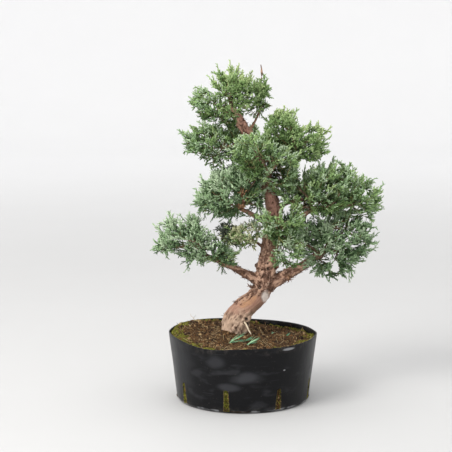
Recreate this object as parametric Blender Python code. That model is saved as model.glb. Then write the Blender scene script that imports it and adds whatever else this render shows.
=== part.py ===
"""A Chinese juniper trained as a small tree, in a round black nursery pot with slots at its foot.

Sizes are in millimetres and become metres when a mesh is made. X runs to the right of the view that
shows the tree best, Y runs away from it and Z is up. The origin is the middle of the pot's underside.
"""

import math
import random

import bmesh
import bpy
from mathutils import Vector, noise
from mathutils.bvhtree import BVHTree

MM = 0.001
CLEARANCE = 0.3
TOUCHING = 0.002

# The pot: a soft plastic wall on a flat floor, with the rim cut by hand
RIM_RADIUS = 75.0
FOOT_RADIUS = 68.5
POT_HEIGHT = 68.0
WALL = 1.2
FLOOR = 1.5
FOOT_ROUNDING = 4.0
POT_SEGMENTS = 48
RIM_LIFT = 2.6
RIM_LIFT_TOWARDS = math.radians(165)
RIM_WAVE = 0.6
CREASE = 1.6
CREASE_SPREAD = math.radians(9)

# The slots at the foot of the wall
SLOT_COUNT = 8
FIRST_SLOT = math.radians(-104.5)
SLOT_LOW = 2.0
SLOT_HIGH = 24.5
SLOT_FOOT_WIDTH = 6.4
SLOT_HEAD_WIDTH = 4.0

# The soil: level where the trunk stands, lower and uneven towards the wall
SOIL_SEAT = 65.0
SOIL_AT_WALL = 61.5
SOIL_UNEVEN = 1.3
SOIL_SLACK = 0.25
SOIL_RINGS = 4
SEAT_RADIUS = 19.0

# The trunk: x, y, z and diameter at its stations, from the flat cut on the soil to the tip
TRUNK = (
    (-9, 15, 65.0, 24.5),
    (-9, 15, 73, 25.0),
    (-7.5, 14, 82, 25.4),
    (-2, 12.5, 90, 24.6),
    (6, 10.5, 96.5, 22.6),
    (13.5, 8, 103, 21.0),
    (18.5, 6, 110, 20.0),
    (21.5, 4, 119, 19.4),
    (23.5, 3, 129, 18.6),
    (25, 2, 140, 17.4),
    (26, 2, 151, 15.6),
    (26.5, 2, 163, 14.4),
    (30, 4, 184, 14.4),
    (31, 6, 200, 13.8),
    (26, 8, 217, 12.0),
    (21, 9, 235, 10.4),
    (13, 8, 254, 9.8),
    (6, 5, 271, 9.2),
    (-3, 2, 288, 8.0),
    (-9, 0, 300, 5.4),
    (-12, -1, 308, 4.0),
)
TRUNK_SIDES = 14
TRUNK_STEP = 10.0
ROOT_LOBES = 5
ROOT_FLARE = 0.16
FLARE_HEIGHT = 10.0

# Each bough: the height where it leaves the trunk, its tip, its two diameters, and how far it bows up
BOUGHS = {
    "left_low": (120, (-31, -4, 147), 10.6, 5.0, -0.8),
    "right_low": (117, (79, 1, 151), 12.6, 7.0, -2.6),
    "left_inner": (153, (10, -2, 166), 3.6, 2.4, 1.0),
    "back_low": (168, (44, 28, 170), 4.4, 3.0, -1.0),
    "front_low": (176, (36, -18, 181), 4.2, 3.0, 1.0),
    "right_mid": (176, (66, -4, 195), 6.6, 4.4, -2.0),
    "left_mid": (180, (-2, -6, 199), 6.0, 4.0, 1.0),
    "back_right": (198, (63, 40, 203), 5.0, 3.6, 1.0),
    "back_left": (214, (5, 33, 214), 4.4, 3.4, 1.0),
    "front_upper": (236, (20, -16, 248), 4.4, 3.4, 1.0),
    "right_upper": (228, (47, 2, 260), 5.6, 3.8, 2.0),
    "back_upper": (247, (18, 30, 252), 4.4, 3.4, 1.0),
    "left_upper": (262, (-15, 5, 262), 4.6, 3.2, 1.0),
    "apex_right": (272, (16, 5, 303), 4.0, 2.4, -1.5),
    "apex_left": (288, (-21, 4, 299), 3.8, 2.6, 0.5),
}
BOUGH_SIDES = 6
BOUGH_STEP = 13.0

# Each mass of foliage: the centre and half sizes of the round lobes that make up its space
MASSES = {
    "apex": (((-19, 0, 327), (24, 24, 24)), ((2, 0, 323), (22, 24, 28))),
    "apex_left": (((-38, 4, 304), (24, 20, 21)), ((-19, 5, 290), (19, 17, 17))),
    "apex_right": (((15, 5, 318), (13, 13, 25)), ((27, 5, 307), (9, 9, 9))),
    "left_upper": (((-41, 4, 269), (29, 24, 24)), ((-18, 5, 255), (26, 24, 26))),
    "right_upper": (((38, 2, 281), (23, 23, 24)), ((66, -2, 267), (27, 26, 27))),
    "front_upper": (((12, -32, 258), (28, 23, 25)), ((38, -30, 243), (26, 23, 24))),
    "left_mid": (
        ((-20, -6, 216), (33, 29, 30)),
        ((3, -16, 229), (25, 21, 22)),
        ((5, -14, 205), (22, 20, 19)),
    ),
    "right_mid": (
        ((96, -5, 219), (43, 37, 33)),
        ((58, -10, 214), (32, 28, 31)),
        ((125, -5, 199), (22, 25, 25)),
    ),
    "right_low": (
        ((106, -3, 169), (34, 31, 30)),
        ((88, -6, 145), (31, 25, 24)),
        ((70, 4, 172), (25, 22, 23)),
    ),
    "left_low": (
        ((-64, -8, 169), (32, 27, 30)),
        ((-37, -6, 157), (28, 23, 20)),
        ((-15, -4, 148), (13, 12, 12)),
    ),
    "front_low": (((38, -34, 191), (25, 21, 25)), ((44, -34, 162), (21, 19, 22))),
    "left_inner": (((5, -8, 175), (20, 15, 16)), ((-17, -8, 171), (13, 12, 13))),
    "back_upper": (((20, 50, 254), (32, 26, 28)),),
    "back_left": (((-11, 50, 212), (30, 24, 24)),),
    "back_right": (((85, 58, 205), (36, 27, 28)),),
    "back_low": (((55, 44, 168), (18, 19, 17)),),
}

# The rule that grows twigs through a mass: how close their ends lie and how they bend
SPRAY_SPACING = 26.6
TRIES_PER_END = 8
WIDE_LOBE = 32.0
INNERMOST_END = 0.3
OUTERMOST_END = 0.88
TURN_COST = 0.9
TWIG_PIECE = 11.0
TWIG_SUNK = 1.5
STEM_LENGTH = 6.0
TWIG_RADIUS = 0.7
PIPE_POWER = 0.42
UPWARD_PULL = 0.35
MASS_MARGIN = 0.045
LIMB_MARGIN = 1.3

# A spray of scale leaves: a thin blade of forward-pointing fingers on a twig. Each pair of shares of
# the spray's length is how far along and how far aside a fingertip or the notch before the next lies.
SPRAY_SHARE = 1.0
LONG_SPRAY = 37.0
SHORT_SPRAY = 26.0
SHORTEST_SPRAY = 14.0
SPRAY_THICKNESS = 2.8
SPRAY_MIDDLE = 0.30
SPRAY_FINGERS = ((0.56, 0.34), (0.50, 0.14), (0.86, 0.26), (0.70, 0.07))
SPRAY_CUP = 0.35
TWIG_IN_SPRAY = 5.0
SIDE_SPRAYS = 2
SIDE_SHARE = 0.86
SIDE_ANGLE = math.radians(48)
GOLDEN_TURN = math.radians(137.5)
TURNS = 5
ROLLS = 3
ATTEMPTS = 6


def paint(name, colour, roughness):
    """One plain material of the plant or its pot."""
    material = bpy.data.materials.new(name)
    material.use_nodes = True
    shader = material.node_tree.nodes["Principled BSDF"]
    shader.inputs["Base Color"].default_value = (*colour, 1.0)
    shader.inputs["Roughness"].default_value = roughness
    return material


def add_object(name, shape, material):
    """Turns a bmesh in millimetres into a named object in metres."""
    bmesh.ops.recalc_face_normals(shape, faces=shape.faces)
    bmesh.ops.scale(shape, vec=(MM, MM, MM), verts=shape.verts)
    mesh = bpy.data.meshes.new(name)
    shape.to_mesh(mesh)
    shape.free()
    mesh.materials.append(material)
    made = bpy.data.objects.new(name, mesh)
    bpy.context.scene.collection.objects.link(made)
    return made


def skin_rings(shape, rings):
    """Joins rings of points with equal counts into one closed skin, capped at both ends."""
    rows = [[shape.verts.new(point) for point in ring] for ring in rings]
    count = len(rows[0])
    for low, high in zip(rows, rows[1:]):
        for i in range(count):
            j = (i + 1) % count
            shape.faces.new((low[i], low[j], high[j], high[i]))
    shape.faces.new(rows[0][::-1])
    shape.faces.new(rows[-1])


def smooth_path(stations, step):
    """Catmull-Rom points, each a centre and a radius, through stations of x, y, z and diameter."""
    rows = [Vector((x, y, z, across / 2)) for x, y, z, across in stations]
    rows = [2 * rows[0] - rows[1], *rows, 2 * rows[-1] - rows[-2]]
    path = []
    for a, b, c, d in zip(rows, rows[1:], rows[2:], rows[3:]):
        pieces = max(1, round((c - b).to_3d().length / step))
        for i in range(pieces):
            t = i / pieces
            row = (2 * b + (c - a) * t + (2 * a - 5 * b + 4 * c - d) * t**2) / 2
            row += (3 * b - a - 3 * c + d) * t**3 / 2
            path.append((row.to_3d(), row[3]))
    path.append((rows[-2].to_3d(), rows[-2][3]))
    return path


def tangents(path):
    """The direction of travel at each point of a path."""
    last = len(path) - 1
    return [(path[min(i + 1, last)][0] - path[max(i - 1, 0)][0]).normalized() for i in range(last + 1)]


def tube(path, sides, level_foot=False, flare=None, extra=0.0):
    """A bmesh tube round a path. A level foot lies flat on the soil, and flare widens it by angle."""
    ways = tangents(path)
    side = ways[0].orthogonal().normalized()
    rings = []
    for i, (centre, radius) in enumerate(path):
        way = ways[i]
        if level_foot:
            way = Vector((0, 0, 1)).lerp(way, min(1.0, i / 3)).normalized()
        side = (side - way * side.dot(way)).normalized()
        across = way.cross(side)
        ring = []
        for k in range(sides):
            angle = math.tau * k / sides
            reach = radius * (flare(centre.z, angle) if flare else 1.0) + extra
            ring.append(centre + reach * (math.cos(angle) * side + math.sin(angle) * across))
        rings.append(ring)
    shape = bmesh.new()
    skin_rings(shape, rings)
    return shape


def root_flare(height, angle):
    """How much the trunk's foot spreads into roots, fading with the height above the soil."""
    fade = math.exp(-(height - SOIL_SEAT) / FLARE_HEIGHT)
    return 1 + ROOT_FLARE * fade * (0.5 + 0.5 * math.cos(ROOT_LOBES * angle))


def limb_tree(path, is_trunk):
    """A search tree of a limb's skin with the clearance round it."""
    if is_trunk:
        shape = tube(path, TRUNK_SIDES, level_foot=True, flare=root_flare, extra=CLEARANCE)
    else:
        shape = tube(path, BOUGH_SIDES, extra=CLEARANCE)
    tree = BVHTree.FromBMesh(shape)
    shape.free()
    return tree


def trunk_centre(height):
    """The point on the trunk's axis at a height."""
    for (x0, y0, z0, _), (x1, y1, z1, _) in zip(TRUNK, TRUNK[1:]):
        if z0 <= height <= z1:
            share = (height - z0) / (z1 - z0)
            return Vector((x0, y0, z0)).lerp(Vector((x1, y1, z1)), share)
    raise ValueError(f"no trunk at {height}")


def bough_path(height, tip, wide, narrow, bow):
    """A tapering limb from the trunk's axis to its tip, bowed up in the middle."""
    start = trunk_centre(height)
    end = Vector(tip)
    pieces = max(3, round((end - start).length / BOUGH_STEP))
    path = []
    for i in range(pieces + 1):
        t = i / pieces
        centre = start.lerp(end, t) + Vector((0, 0, bow * math.sin(math.pi * t)))
        path.append((centre, (wide + (narrow - wide) * t) / 2))
    return path


def evaluated_mesh(made):
    """The mesh of an object with its modifiers applied."""
    graph = bpy.context.evaluated_depsgraph_get()
    return bpy.data.meshes.new_from_object(made.evaluated_get(graph))


def islands(shape):
    """The separate bodies of a bmesh, as lists of faces."""
    left = set(shape.faces)
    found = []
    while left:
        grown = [left.pop()]
        for face in grown:
            for edge in face.edges:
                near = [other for other in edge.link_faces if other in left]
                left.difference_update(near)
                grown.extend(near)
        found.append(grown)
    return found


def keep_main_body(made):
    """Drops loose scraps and fills sealed hollows: only the outer skin of the largest body stays."""
    shape = bmesh.new()
    shape.from_mesh(made.data)
    bodies = sorted(islands(shape), key=len)
    spare = [face for body in bodies[:-1] for face in body]
    bmesh.ops.delete(shape, geom=spare, context="FACES")
    shape.to_mesh(made.data)
    shape.free()


def combine(made, others, operation, solver):
    """Applies one Boolean between an object and several others, which are then removed."""
    group = bpy.data.collections.new(f"{made.name}_parts")
    for other in others:
        group.objects.link(other)
    modifier = made.modifiers.new("join", "BOOLEAN")
    modifier.operation = operation
    modifier.solver = solver
    modifier.operand_type = "COLLECTION"
    modifier.collection = group
    made.data = evaluated_mesh(made)
    made.modifiers.remove(modifier)
    for other in others:
        bpy.data.objects.remove(other)
    bpy.data.collections.remove(group)
    keep_main_body(made)


def is_sound(made):
    """Whether no two points of an object's skin touch unless an edge joins them."""
    shape = bmesh.new()
    shape.from_mesh(made.data)
    near = bmesh.ops.find_doubles(shape, verts=shape.verts, dist=TOUCHING * MM)["targetmap"]
    sound = all(any(edge.other_vert(a) == b for edge in a.link_edges) for a, b in near.items())
    sound = sound and all(len(edge.link_faces) == 2 for edge in shape.edges)
    shape.free()
    return sound


def rim_height(angle):
    """The height of the hand-cut rim, which rises to the left and waves a little."""
    lift = max(0.0, math.cos(angle - RIM_LIFT_TOWARDS)) ** 2
    return POT_HEIGHT + RIM_LIFT * lift + RIM_WAVE * math.sin(3 * angle + 1.0)


def wall_radius(angle, height):
    """The outside of the soft wall, creased a little where it folds at the left and the right."""
    share = height / POT_HEIGHT
    crease = 0.0
    for side in (0.0, math.pi):
        off = math.remainder(angle - side, math.tau)
        crease += CREASE * math.exp(-((off / CREASE_SPREAD) ** 2))
    soft = 0.5 * math.cos(4 * angle + 0.6) + 0.4 * math.sin(3 * angle)
    return FOOT_RADIUS + (RIM_RADIUS - FOOT_RADIUS) * share + share * (crease + soft)


def wall_ring(share, inset, height=None):
    """One ring of the pot's wall, at a share of the rim's height or at one level height."""
    ring = []
    for k in range(POT_SEGMENTS):
        angle = math.tau * k / POT_SEGMENTS
        z = rim_height(angle) * share if height is None else height
        reach = wall_radius(angle, z) - inset
        ring.append(Vector((reach * math.cos(angle), reach * math.sin(angle), z)))
    return ring


def slot_cutter(angle, material):
    """A wedge through the wall, wider at its foot, for one drainage slot."""
    shape = bmesh.new()
    out = Vector((math.cos(angle), math.sin(angle), 0))
    across = Vector((-out.y, out.x, 0))
    rings = []
    for reach in (FOOT_RADIUS - 12, RIM_RADIUS + 8):
        ring = []
        for width, z in ((SLOT_FOOT_WIDTH, SLOT_LOW), (SLOT_HEAD_WIDTH, SLOT_HIGH)):
            pair = [out * reach + across * (side * width / 2) + Vector((0, 0, z)) for side in (-1, 1)]
            ring += pair if z == SLOT_LOW else pair[::-1]
        rings.append(ring)
    skin_rings(shape, rings)
    return add_object(f"slot_{round(math.degrees(angle))}", shape, material)


def build_pot(material):
    """The black pot: a flat floor, a thin wall and eight slots."""
    rounding = FOOT_ROUNDING
    rings = [
        wall_ring(0, rounding, 0.0),
        wall_ring(0, rounding * 0.3, rounding * 0.3),
        wall_ring(0, 0, rounding),
        wall_ring(1, 0),
        wall_ring(1, WALL),
        wall_ring(0, WALL, FLOOR + rounding),
        wall_ring(0, WALL + rounding * 0.3, FLOOR + rounding * 0.3),
        wall_ring(0, WALL + rounding, FLOOR),
    ]
    shape = bmesh.new()
    skin_rings(shape, rings)
    pot = add_object("pot", shape, material)
    angles = [FIRST_SLOT + math.tau * k / SLOT_COUNT for k in range(SLOT_COUNT)]
    combine(pot, [slot_cutter(angle, material) for angle in angles], "DIFFERENCE", "EXACT")


def soil_height(x, y, rim_share):
    """The soil's surface: level under the trunk, uneven and lower towards the wall."""
    foot = Vector(TRUNK[0][:3])
    away = max(0.0, math.hypot(x - foot.x, y - foot.y) - SEAT_RADIUS)
    rough = min(1.0, away / 12)
    bumps = SOIL_UNEVEN * noise.noise(Vector((x, y, 0)) / 14) + SOIL_UNEVEN * noise.noise(Vector((x, y, 9)) / 6)
    slope = (SOIL_SEAT - SOIL_AT_WALL) * rough * rim_share**2
    return SOIL_SEAT - CLEARANCE - slope + rough * bumps


def build_soil(material):
    """The root ball that fills the pot, clear of the wall, the floor and the slots."""
    gap = WALL + CLEARANCE + SOIL_SLACK
    rings = [
        wall_ring(0, gap + FOOT_ROUNDING + 0.5, FLOOR + CLEARANCE),
        wall_ring(0, gap, FLOOR + FOOT_ROUNDING + 0.5),
        wall_ring(0, gap, SOIL_AT_WALL - 1.5),
    ]
    foot = Vector((TRUNK[0][0], TRUNK[0][1], 0))
    for i in range(SOIL_RINGS):
        share = 1 - (i + 0.3) / (SOIL_RINGS + 0.3)
        row = []
        for edge in rings[2]:
            flat = foot.lerp(Vector((edge.x, edge.y, 0)), share)
            row.append(Vector((flat.x, flat.y, soil_height(flat.x, flat.y, share))))
        rings.append(row)
    shape = bmesh.new()
    skin_rings(shape, rings)
    add_object("soil", shape, material)


def build_limbs(bark):
    """The trunk and its boughs. Each bough's foot is cut to the trunk's skin, a hair clear of it."""
    trunk_path = smooth_path(TRUNK, TRUNK_STEP)
    shape = tube(trunk_path, TRUNK_SIDES, level_foot=True, flare=root_flare)
    add_object("trunk", shape, bark)
    limbs = {"trunk": trunk_path}
    for name, sizes in BOUGHS.items():
        path = bough_path(*sizes)
        bough = add_object(f"bough_{name}", tube(path, BOUGH_SIDES), bark)
        swollen = tube(trunk_path, TRUNK_SIDES, level_foot=True, flare=root_flare, extra=CLEARANCE)
        combine(bough, [add_object("trunk_cutter", swollen, bark)], "DIFFERENCE", "EXACT")
        limbs[name] = path
    return limbs


def lobe_depth(point, lobes):
    """How deep a point lies in a mass: 0 at a lobe's centre and 1 on its skin."""
    deepest = math.inf
    for centre, half in lobes:
        scaled = [(p - c) / h for p, c, h in zip(point, centre, half)]
        deepest = min(deepest, math.hypot(*scaled))
    return deepest


def lobe_size(half):
    """The mean half size of a lobe."""
    return math.prod(half) ** (1 / 3)


def radical_inverse(index, base):
    """One number of an even, unclustered sequence from 0 to 1."""
    value, share = 0.0, 1.0 / base
    while index:
        index, digit = divmod(index, base)
        value += digit * share
        share /= base
    return value


class Mass:
    """One mass of foliage: its space, its twigs from one stem, and the sprays on them."""

    def __init__(self, name, limbs, taken, attempt):
        """Starts the mass at the tip of the limb that carries it, among what is there already."""
        self.name = name
        self.lobes = MASSES[name]
        self.others = [lobes for other, lobes in MASSES.items() if other != name]
        self.limbs = [station for path in limbs.values() for station in dense(path)]
        self.taken = list(taken)
        self.random = random.Random(f"{name} {attempt}")
        carrier = limbs["trunk" if name == "apex" else name]
        self.foot_way = (carrier[-1][0] - carrier[-2][0]).normalized()
        self.foot = carrier[-1][0] + self.foot_way * CLEARANCE
        self.foot_radius = carrier[-1][1]
        self.points = [self.foot + self.foot_way * STEM_LENGTH]
        self.ways, self.parents = [self.foot_way], [None]
        self.twigs = []
        self.sprays = []

    def is_free(self, point):
        """Whether a point lies in this mass's own space and clear of every limb."""
        depth = lobe_depth(point, self.lobes)
        if depth > 1 or any(lobe_depth(point, lobes) < depth + MASS_MARGIN for lobes in self.others):
            return False
        return all((point - centre).length > radius + LIMB_MARGIN for centre, radius in self.limbs)

    def ends(self):
        """Evenly spread places for the ends of twigs, nearest the foot first."""
        shift = [self.random.random() for _ in range(3)]
        found = [Vector(centre) for centre, _ in self.lobes if self.is_free(Vector(centre))]
        for centre, half in self.lobes:
            spacing = SPRAY_SPACING * min(1.0, lobe_size(half) / WIDE_LOBE)
            tries = round(TRIES_PER_END * 8 * half[0] * half[1] * half[2] / spacing**3)
            for i in range(1, tries + 1):
                unit = [(radical_inverse(i, base) + s) % 1 * 2 - 1 for base, s in zip((2, 3, 5), shift)]
                point = Vector([c + u * h for c, u, h in zip(centre, unit, half)])
                inside = INNERMOST_END < lobe_depth(point, self.lobes) < OUTERMOST_END
                if inside and all((point - other).length > spacing for other in found):
                    if self.is_free(point):
                        found.append(point)
        return sorted(found, key=lambda point: (point - self.foot).length)

    def outward(self, point):
        """The way a spray faces at a point: away from the middle of its lobe, and up."""
        centre, half = min(self.lobes, key=lambda lobe: lobe_depth(point, [lobe]))
        away = Vector([(p - c) / h**2 for p, c, h in zip(point, centre, half)]).normalized()
        return (away + Vector((0, 0, UPWARD_PULL))).normalized()

    def reach(self, start, end):
        """Grows one twig from a point of the tree to an end, or nothing where the way is blocked."""
        point, way = self.points[start], self.ways[start]
        chord = end - point
        pieces = max(2, round(chord.length / TWIG_PIECE))
        leave = (way * 0.8 + chord.normalized()).normalized() * chord.length / 3
        arrive = (self.outward(end) + chord.normalized()).normalized() * chord.length / 3
        grown = []
        for i in range(1, 2 * pieces + 1):
            t = i / (2 * pieces)
            curve = point * (1 - t) ** 3 + (point + leave) * 3 * t * (1 - t) ** 2
            curve += (end - arrive) * 3 * t**2 * (1 - t) + end * t**3
            if not self.is_free(curve):
                return False
            if i % 2 == 0:
                grown.append(curve)
        twig = [start]
        for curve in grown:
            self.ways.append((curve - self.points[twig[-1]]).normalized())
            self.points.append(curve)
            self.parents.append(twig[-1])
            twig.append(len(self.points) - 1)
        self.twigs.append(twig)
        return True

    def grow(self):
        """Joins each end to the part of the tree that it can reach with the least length and bending."""
        for end in self.ends():

            def cost(i):
                chord = end - self.points[i]
                turn = 1 - chord.normalized().dot(self.ways[i]) if chord.length > 1 else 2
                return chord.length * (1 + TURN_COST * turn)

            for start in sorted(range(len(self.points)), key=cost)[:6]:
                if self.reach(start, end):
                    break

    def girths(self):
        """The radius at each point, from how many twig ends it carries."""
        carried = [0] * len(self.points)
        for twig in self.twigs:
            node = twig[-1]
            while node is not None:
                carried[node] += 1
                node = self.parents[node]
        full = max(carried[0], 2)
        power = math.log(self.foot_radius / TWIG_RADIUS) / math.log(full)
        return [TWIG_RADIUS * max(1, count) ** min(power, PIPE_POWER) for count in carried]

    def blade(self, root, way, length, roll):
        """The rim, the two faces and the search tree of a toothed blade that stands on a twig."""
        side = way.orthogonal().normalized()
        across = side * math.cos(roll) + way.cross(side) * math.sin(roll)
        face = way.cross(across)
        half = [(along, wide) for along, wide in SPRAY_FINGERS]
        flat = [(0.0, 0.0), *half, (1.0, 0.0)] + [(along, -wide) for along, wide in reversed(half)]
        cup = SPRAY_CUP * self.random.uniform(-1, 1)
        rim = [root + length * (along * way + wide * across + cup * abs(wide) * face) for along, wide in flat]
        middle = root + way * length * SPRAY_MIDDLE
        thick = face * SPRAY_THICKNESS / 2
        points = [*rim, middle + thick, middle - thick]
        count = len(rim)
        faces = []
        for i in range(count):
            j = (i + 1) % count
            faces += [(i, j, count), (j, i, count + 1)]
        return points, faces, BVHTree.FromPolygons(points, faces)

    def fits(self, points, tree):
        """Whether a blade keeps to the mass's own space and crosses no other blade."""
        rim, middle = points[1:-2], (points[-1] + points[-2]) / 2
        inner = [point.lerp(middle, 0.5) for point in rim]
        if not all(self.is_free(point) for point in rim + inner):
            return False
        return not any(tree.overlap(other) for other in self.taken)

    def try_spray(self, root, way, length):
        """Adds a spray, rolled or shortened until it fits, or tells that there is no room for it."""
        start = self.random.uniform(0, math.pi)
        while length >= SHORTEST_SPRAY:
            if self.is_free(root + way * length):
                for turn in range(ROLLS):
                    points, faces, tree = self.blade(root, way, length, start + turn * math.pi / ROLLS)
                    if self.fits(points, tree):
                        self.sprays.append((points, faces))
                        self.taken.append(tree)
                        return True
            length *= 0.88
        return False

    def leaf(self):
        """Ends each twig in a spray and sets others aside from it, turned each time."""
        for number, twig in enumerate(self.twigs):
            end, root = self.points[twig[-1]], self.points[twig[-2]]
            way = (end - root).normalized()
            facing = (way * 2 + self.outward(end)).normalized()
            _, half = min(self.lobes, key=lambda lobe: lobe_depth(end, [lobe]))
            length = min(max(lobe_size(half) * SPRAY_SHARE, SHORT_SPRAY), LONG_SPRAY)
            self.try_spray(root, facing, length)
            self.points[twig[-1]] = root + facing * TWIG_IN_SPRAY
            side = way.orthogonal().normalized()
            room = SIDE_SPRAYS
            for k in range(TURNS):
                turn = number * GOLDEN_TURN + k * math.tau / TURNS
                leaning = side * math.cos(turn) + way.cross(side) * math.sin(turn)
                aside = way * math.cos(SIDE_ANGLE) + leaning * math.sin(SIDE_ANGLE)
                foot = self.points[twig[-2]].lerp(self.points[twig[-3 if len(twig) > 3 else -2]], 0.5)
                if room and self.try_spray(foot, aside.normalized(), length * SIDE_SHARE):
                    room -= 1

    def build(self, foliage):
        """Makes the twigs and sprays and fuses them into one solid."""
        self.grow()
        self.leaf()
        girth = self.girths()
        stem_end = self.points[0] + self.ways[0]
        pieces = [tube([(self.foot, self.foot_radius), (stem_end, girth[0] * 1.15)], 6)]
        for twig in self.twigs:
            start = twig[0]
            path = [(self.points[start] - self.ways[start] * TWIG_SUNK, girth[twig[1]])]
            path += [(self.points[i], girth[i]) for i in twig[1:]]
            pieces.append(tube(path, 3))
        for points, faces in self.sprays:
            blade = bmesh.new()
            verts = [blade.verts.new(point) for point in points]
            for face in faces:
                blade.faces.new([verts[i] for i in face])
            pieces.append(blade)
        parts = [add_object(f"{self.name}_{i}", piece, foliage) for i, piece in enumerate(pieces)]
        mass = parts[0]
        mass.name = f"foliage_{self.name}"
        combine(mass, parts[1:], "UNION", "MANIFOLD")
        return mass


def build_mass(name, limbs, taken, foliage):
    """Grows a mass, and grows it again from another seed where the solid touches itself."""
    for attempt in range(ATTEMPTS):
        mass = Mass(name, limbs, taken, attempt)
        made = mass.build(foliage)
        if is_sound(made):
            taken[:] = mass.taken
            return
        bpy.data.objects.remove(made)
    raise RuntimeError(f"{name} touches itself in every attempt")


def dense(path):
    """A limb's path with points close enough together to test distances against."""
    close = []
    for (a, ra), (b, rb) in zip(path, path[1:]):
        pieces = max(1, math.ceil((b - a).length / 2.5))
        close += [(a.lerp(b, i / pieces), ra + (rb - ra) * i / pieces) for i in range(pieces)]
    return close + [path[-1]]


def main():
    """Clears the scene and builds the pot, the soil, the limbs and the foliage."""
    for old in list(bpy.data.objects):
        bpy.data.objects.remove(old)
    black = paint("black_plastic", (0.018, 0.019, 0.022), 0.42)
    earth = paint("potting_soil", (0.10, 0.055, 0.03), 0.95)
    bark = paint("juniper_bark", (0.26, 0.135, 0.085), 0.9)
    foliage = paint("juniper_foliage", (0.075, 0.16, 0.06), 0.7)
    build_pot(black)
    build_soil(earth)
    limbs = build_limbs(bark)
    taken = [limb_tree(path, name == "trunk") for name, path in limbs.items()]
    for name in MASSES:
        build_mass(name, limbs, taken, foliage)


main()
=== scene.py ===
"""The looks of a young Chinese juniper in a low black nursery pot.

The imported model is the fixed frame. Sizes here are in millimetres and become metres when a mesh is
made. X runs to the right of the view that shows the tree best, Y runs away from it and Z is up.
"""

import logging
import math
import random
from collections.abc import Sequence
from dataclasses import dataclass, field
from enum import Enum

import bpy
import numpy as np
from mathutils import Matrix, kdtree, noise


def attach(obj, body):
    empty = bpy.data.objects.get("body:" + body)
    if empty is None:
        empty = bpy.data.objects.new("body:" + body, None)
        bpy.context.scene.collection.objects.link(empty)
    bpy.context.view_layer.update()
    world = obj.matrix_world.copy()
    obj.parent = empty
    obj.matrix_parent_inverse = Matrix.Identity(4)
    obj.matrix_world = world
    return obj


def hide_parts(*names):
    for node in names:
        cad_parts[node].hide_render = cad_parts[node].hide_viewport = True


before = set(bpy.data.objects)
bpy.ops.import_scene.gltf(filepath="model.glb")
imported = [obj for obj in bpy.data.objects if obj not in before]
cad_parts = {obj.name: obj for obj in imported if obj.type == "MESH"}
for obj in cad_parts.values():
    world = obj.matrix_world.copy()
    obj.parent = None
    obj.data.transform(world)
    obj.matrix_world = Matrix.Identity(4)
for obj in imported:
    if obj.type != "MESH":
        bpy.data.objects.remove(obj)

Array = np.ndarray
Triple = tuple[float, float, float]
MM = 0.001
UP = np.array((0.0, 0.0, 1.0))
PICTURE = 452
BODY = "root"
log = logging.getLogger("juniper")


class Signal:
    """A socket of a material's nodes that takes part in Python arithmetic."""

    def __init__(self, shader: "Shader", socket: bpy.types.NodeSocket) -> None:
        """Keeps the socket and the material that it belongs to."""
        self.shader = shader
        self.socket = socket

    def _math(self, operation: str, *values: "Signal | float") -> "Signal":
        """The result of a Math node with this operation on these values."""
        return self.shader.node("Math", {"operation": operation}, dict(enumerate(values)))

    def __add__(self, other: "Signal | float") -> "Signal":
        """The sum."""
        return self._math("ADD", self, other)

    def __sub__(self, other: "Signal | float") -> "Signal":
        """The difference."""
        return self._math("SUBTRACT", self, other)

    def __rsub__(self, other: float) -> "Signal":
        """The reflected difference."""
        return self._math("SUBTRACT", other, self)

    def __mul__(self, other: "Signal | float") -> "Signal":
        """The product."""
        return self._math("MULTIPLY", self, other)

    def __or__(self, other: "Signal | float") -> "Signal":
        """The larger of the two, which joins two masks."""
        return self._math("MAXIMUM", self, other)

    __radd__ = __add__
    __rmul__ = __mul__
    __ror__ = __or__

    def band(self, low: float, high: float) -> "Signal":
        """A smooth step from 0 at low to 1 at high, which may be the smaller one."""
        settings = {"interpolation_type": "SMOOTHSTEP"}
        return self.shader.node("MapRange", settings, {"Value": self, 1: low, 2: high})


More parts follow.
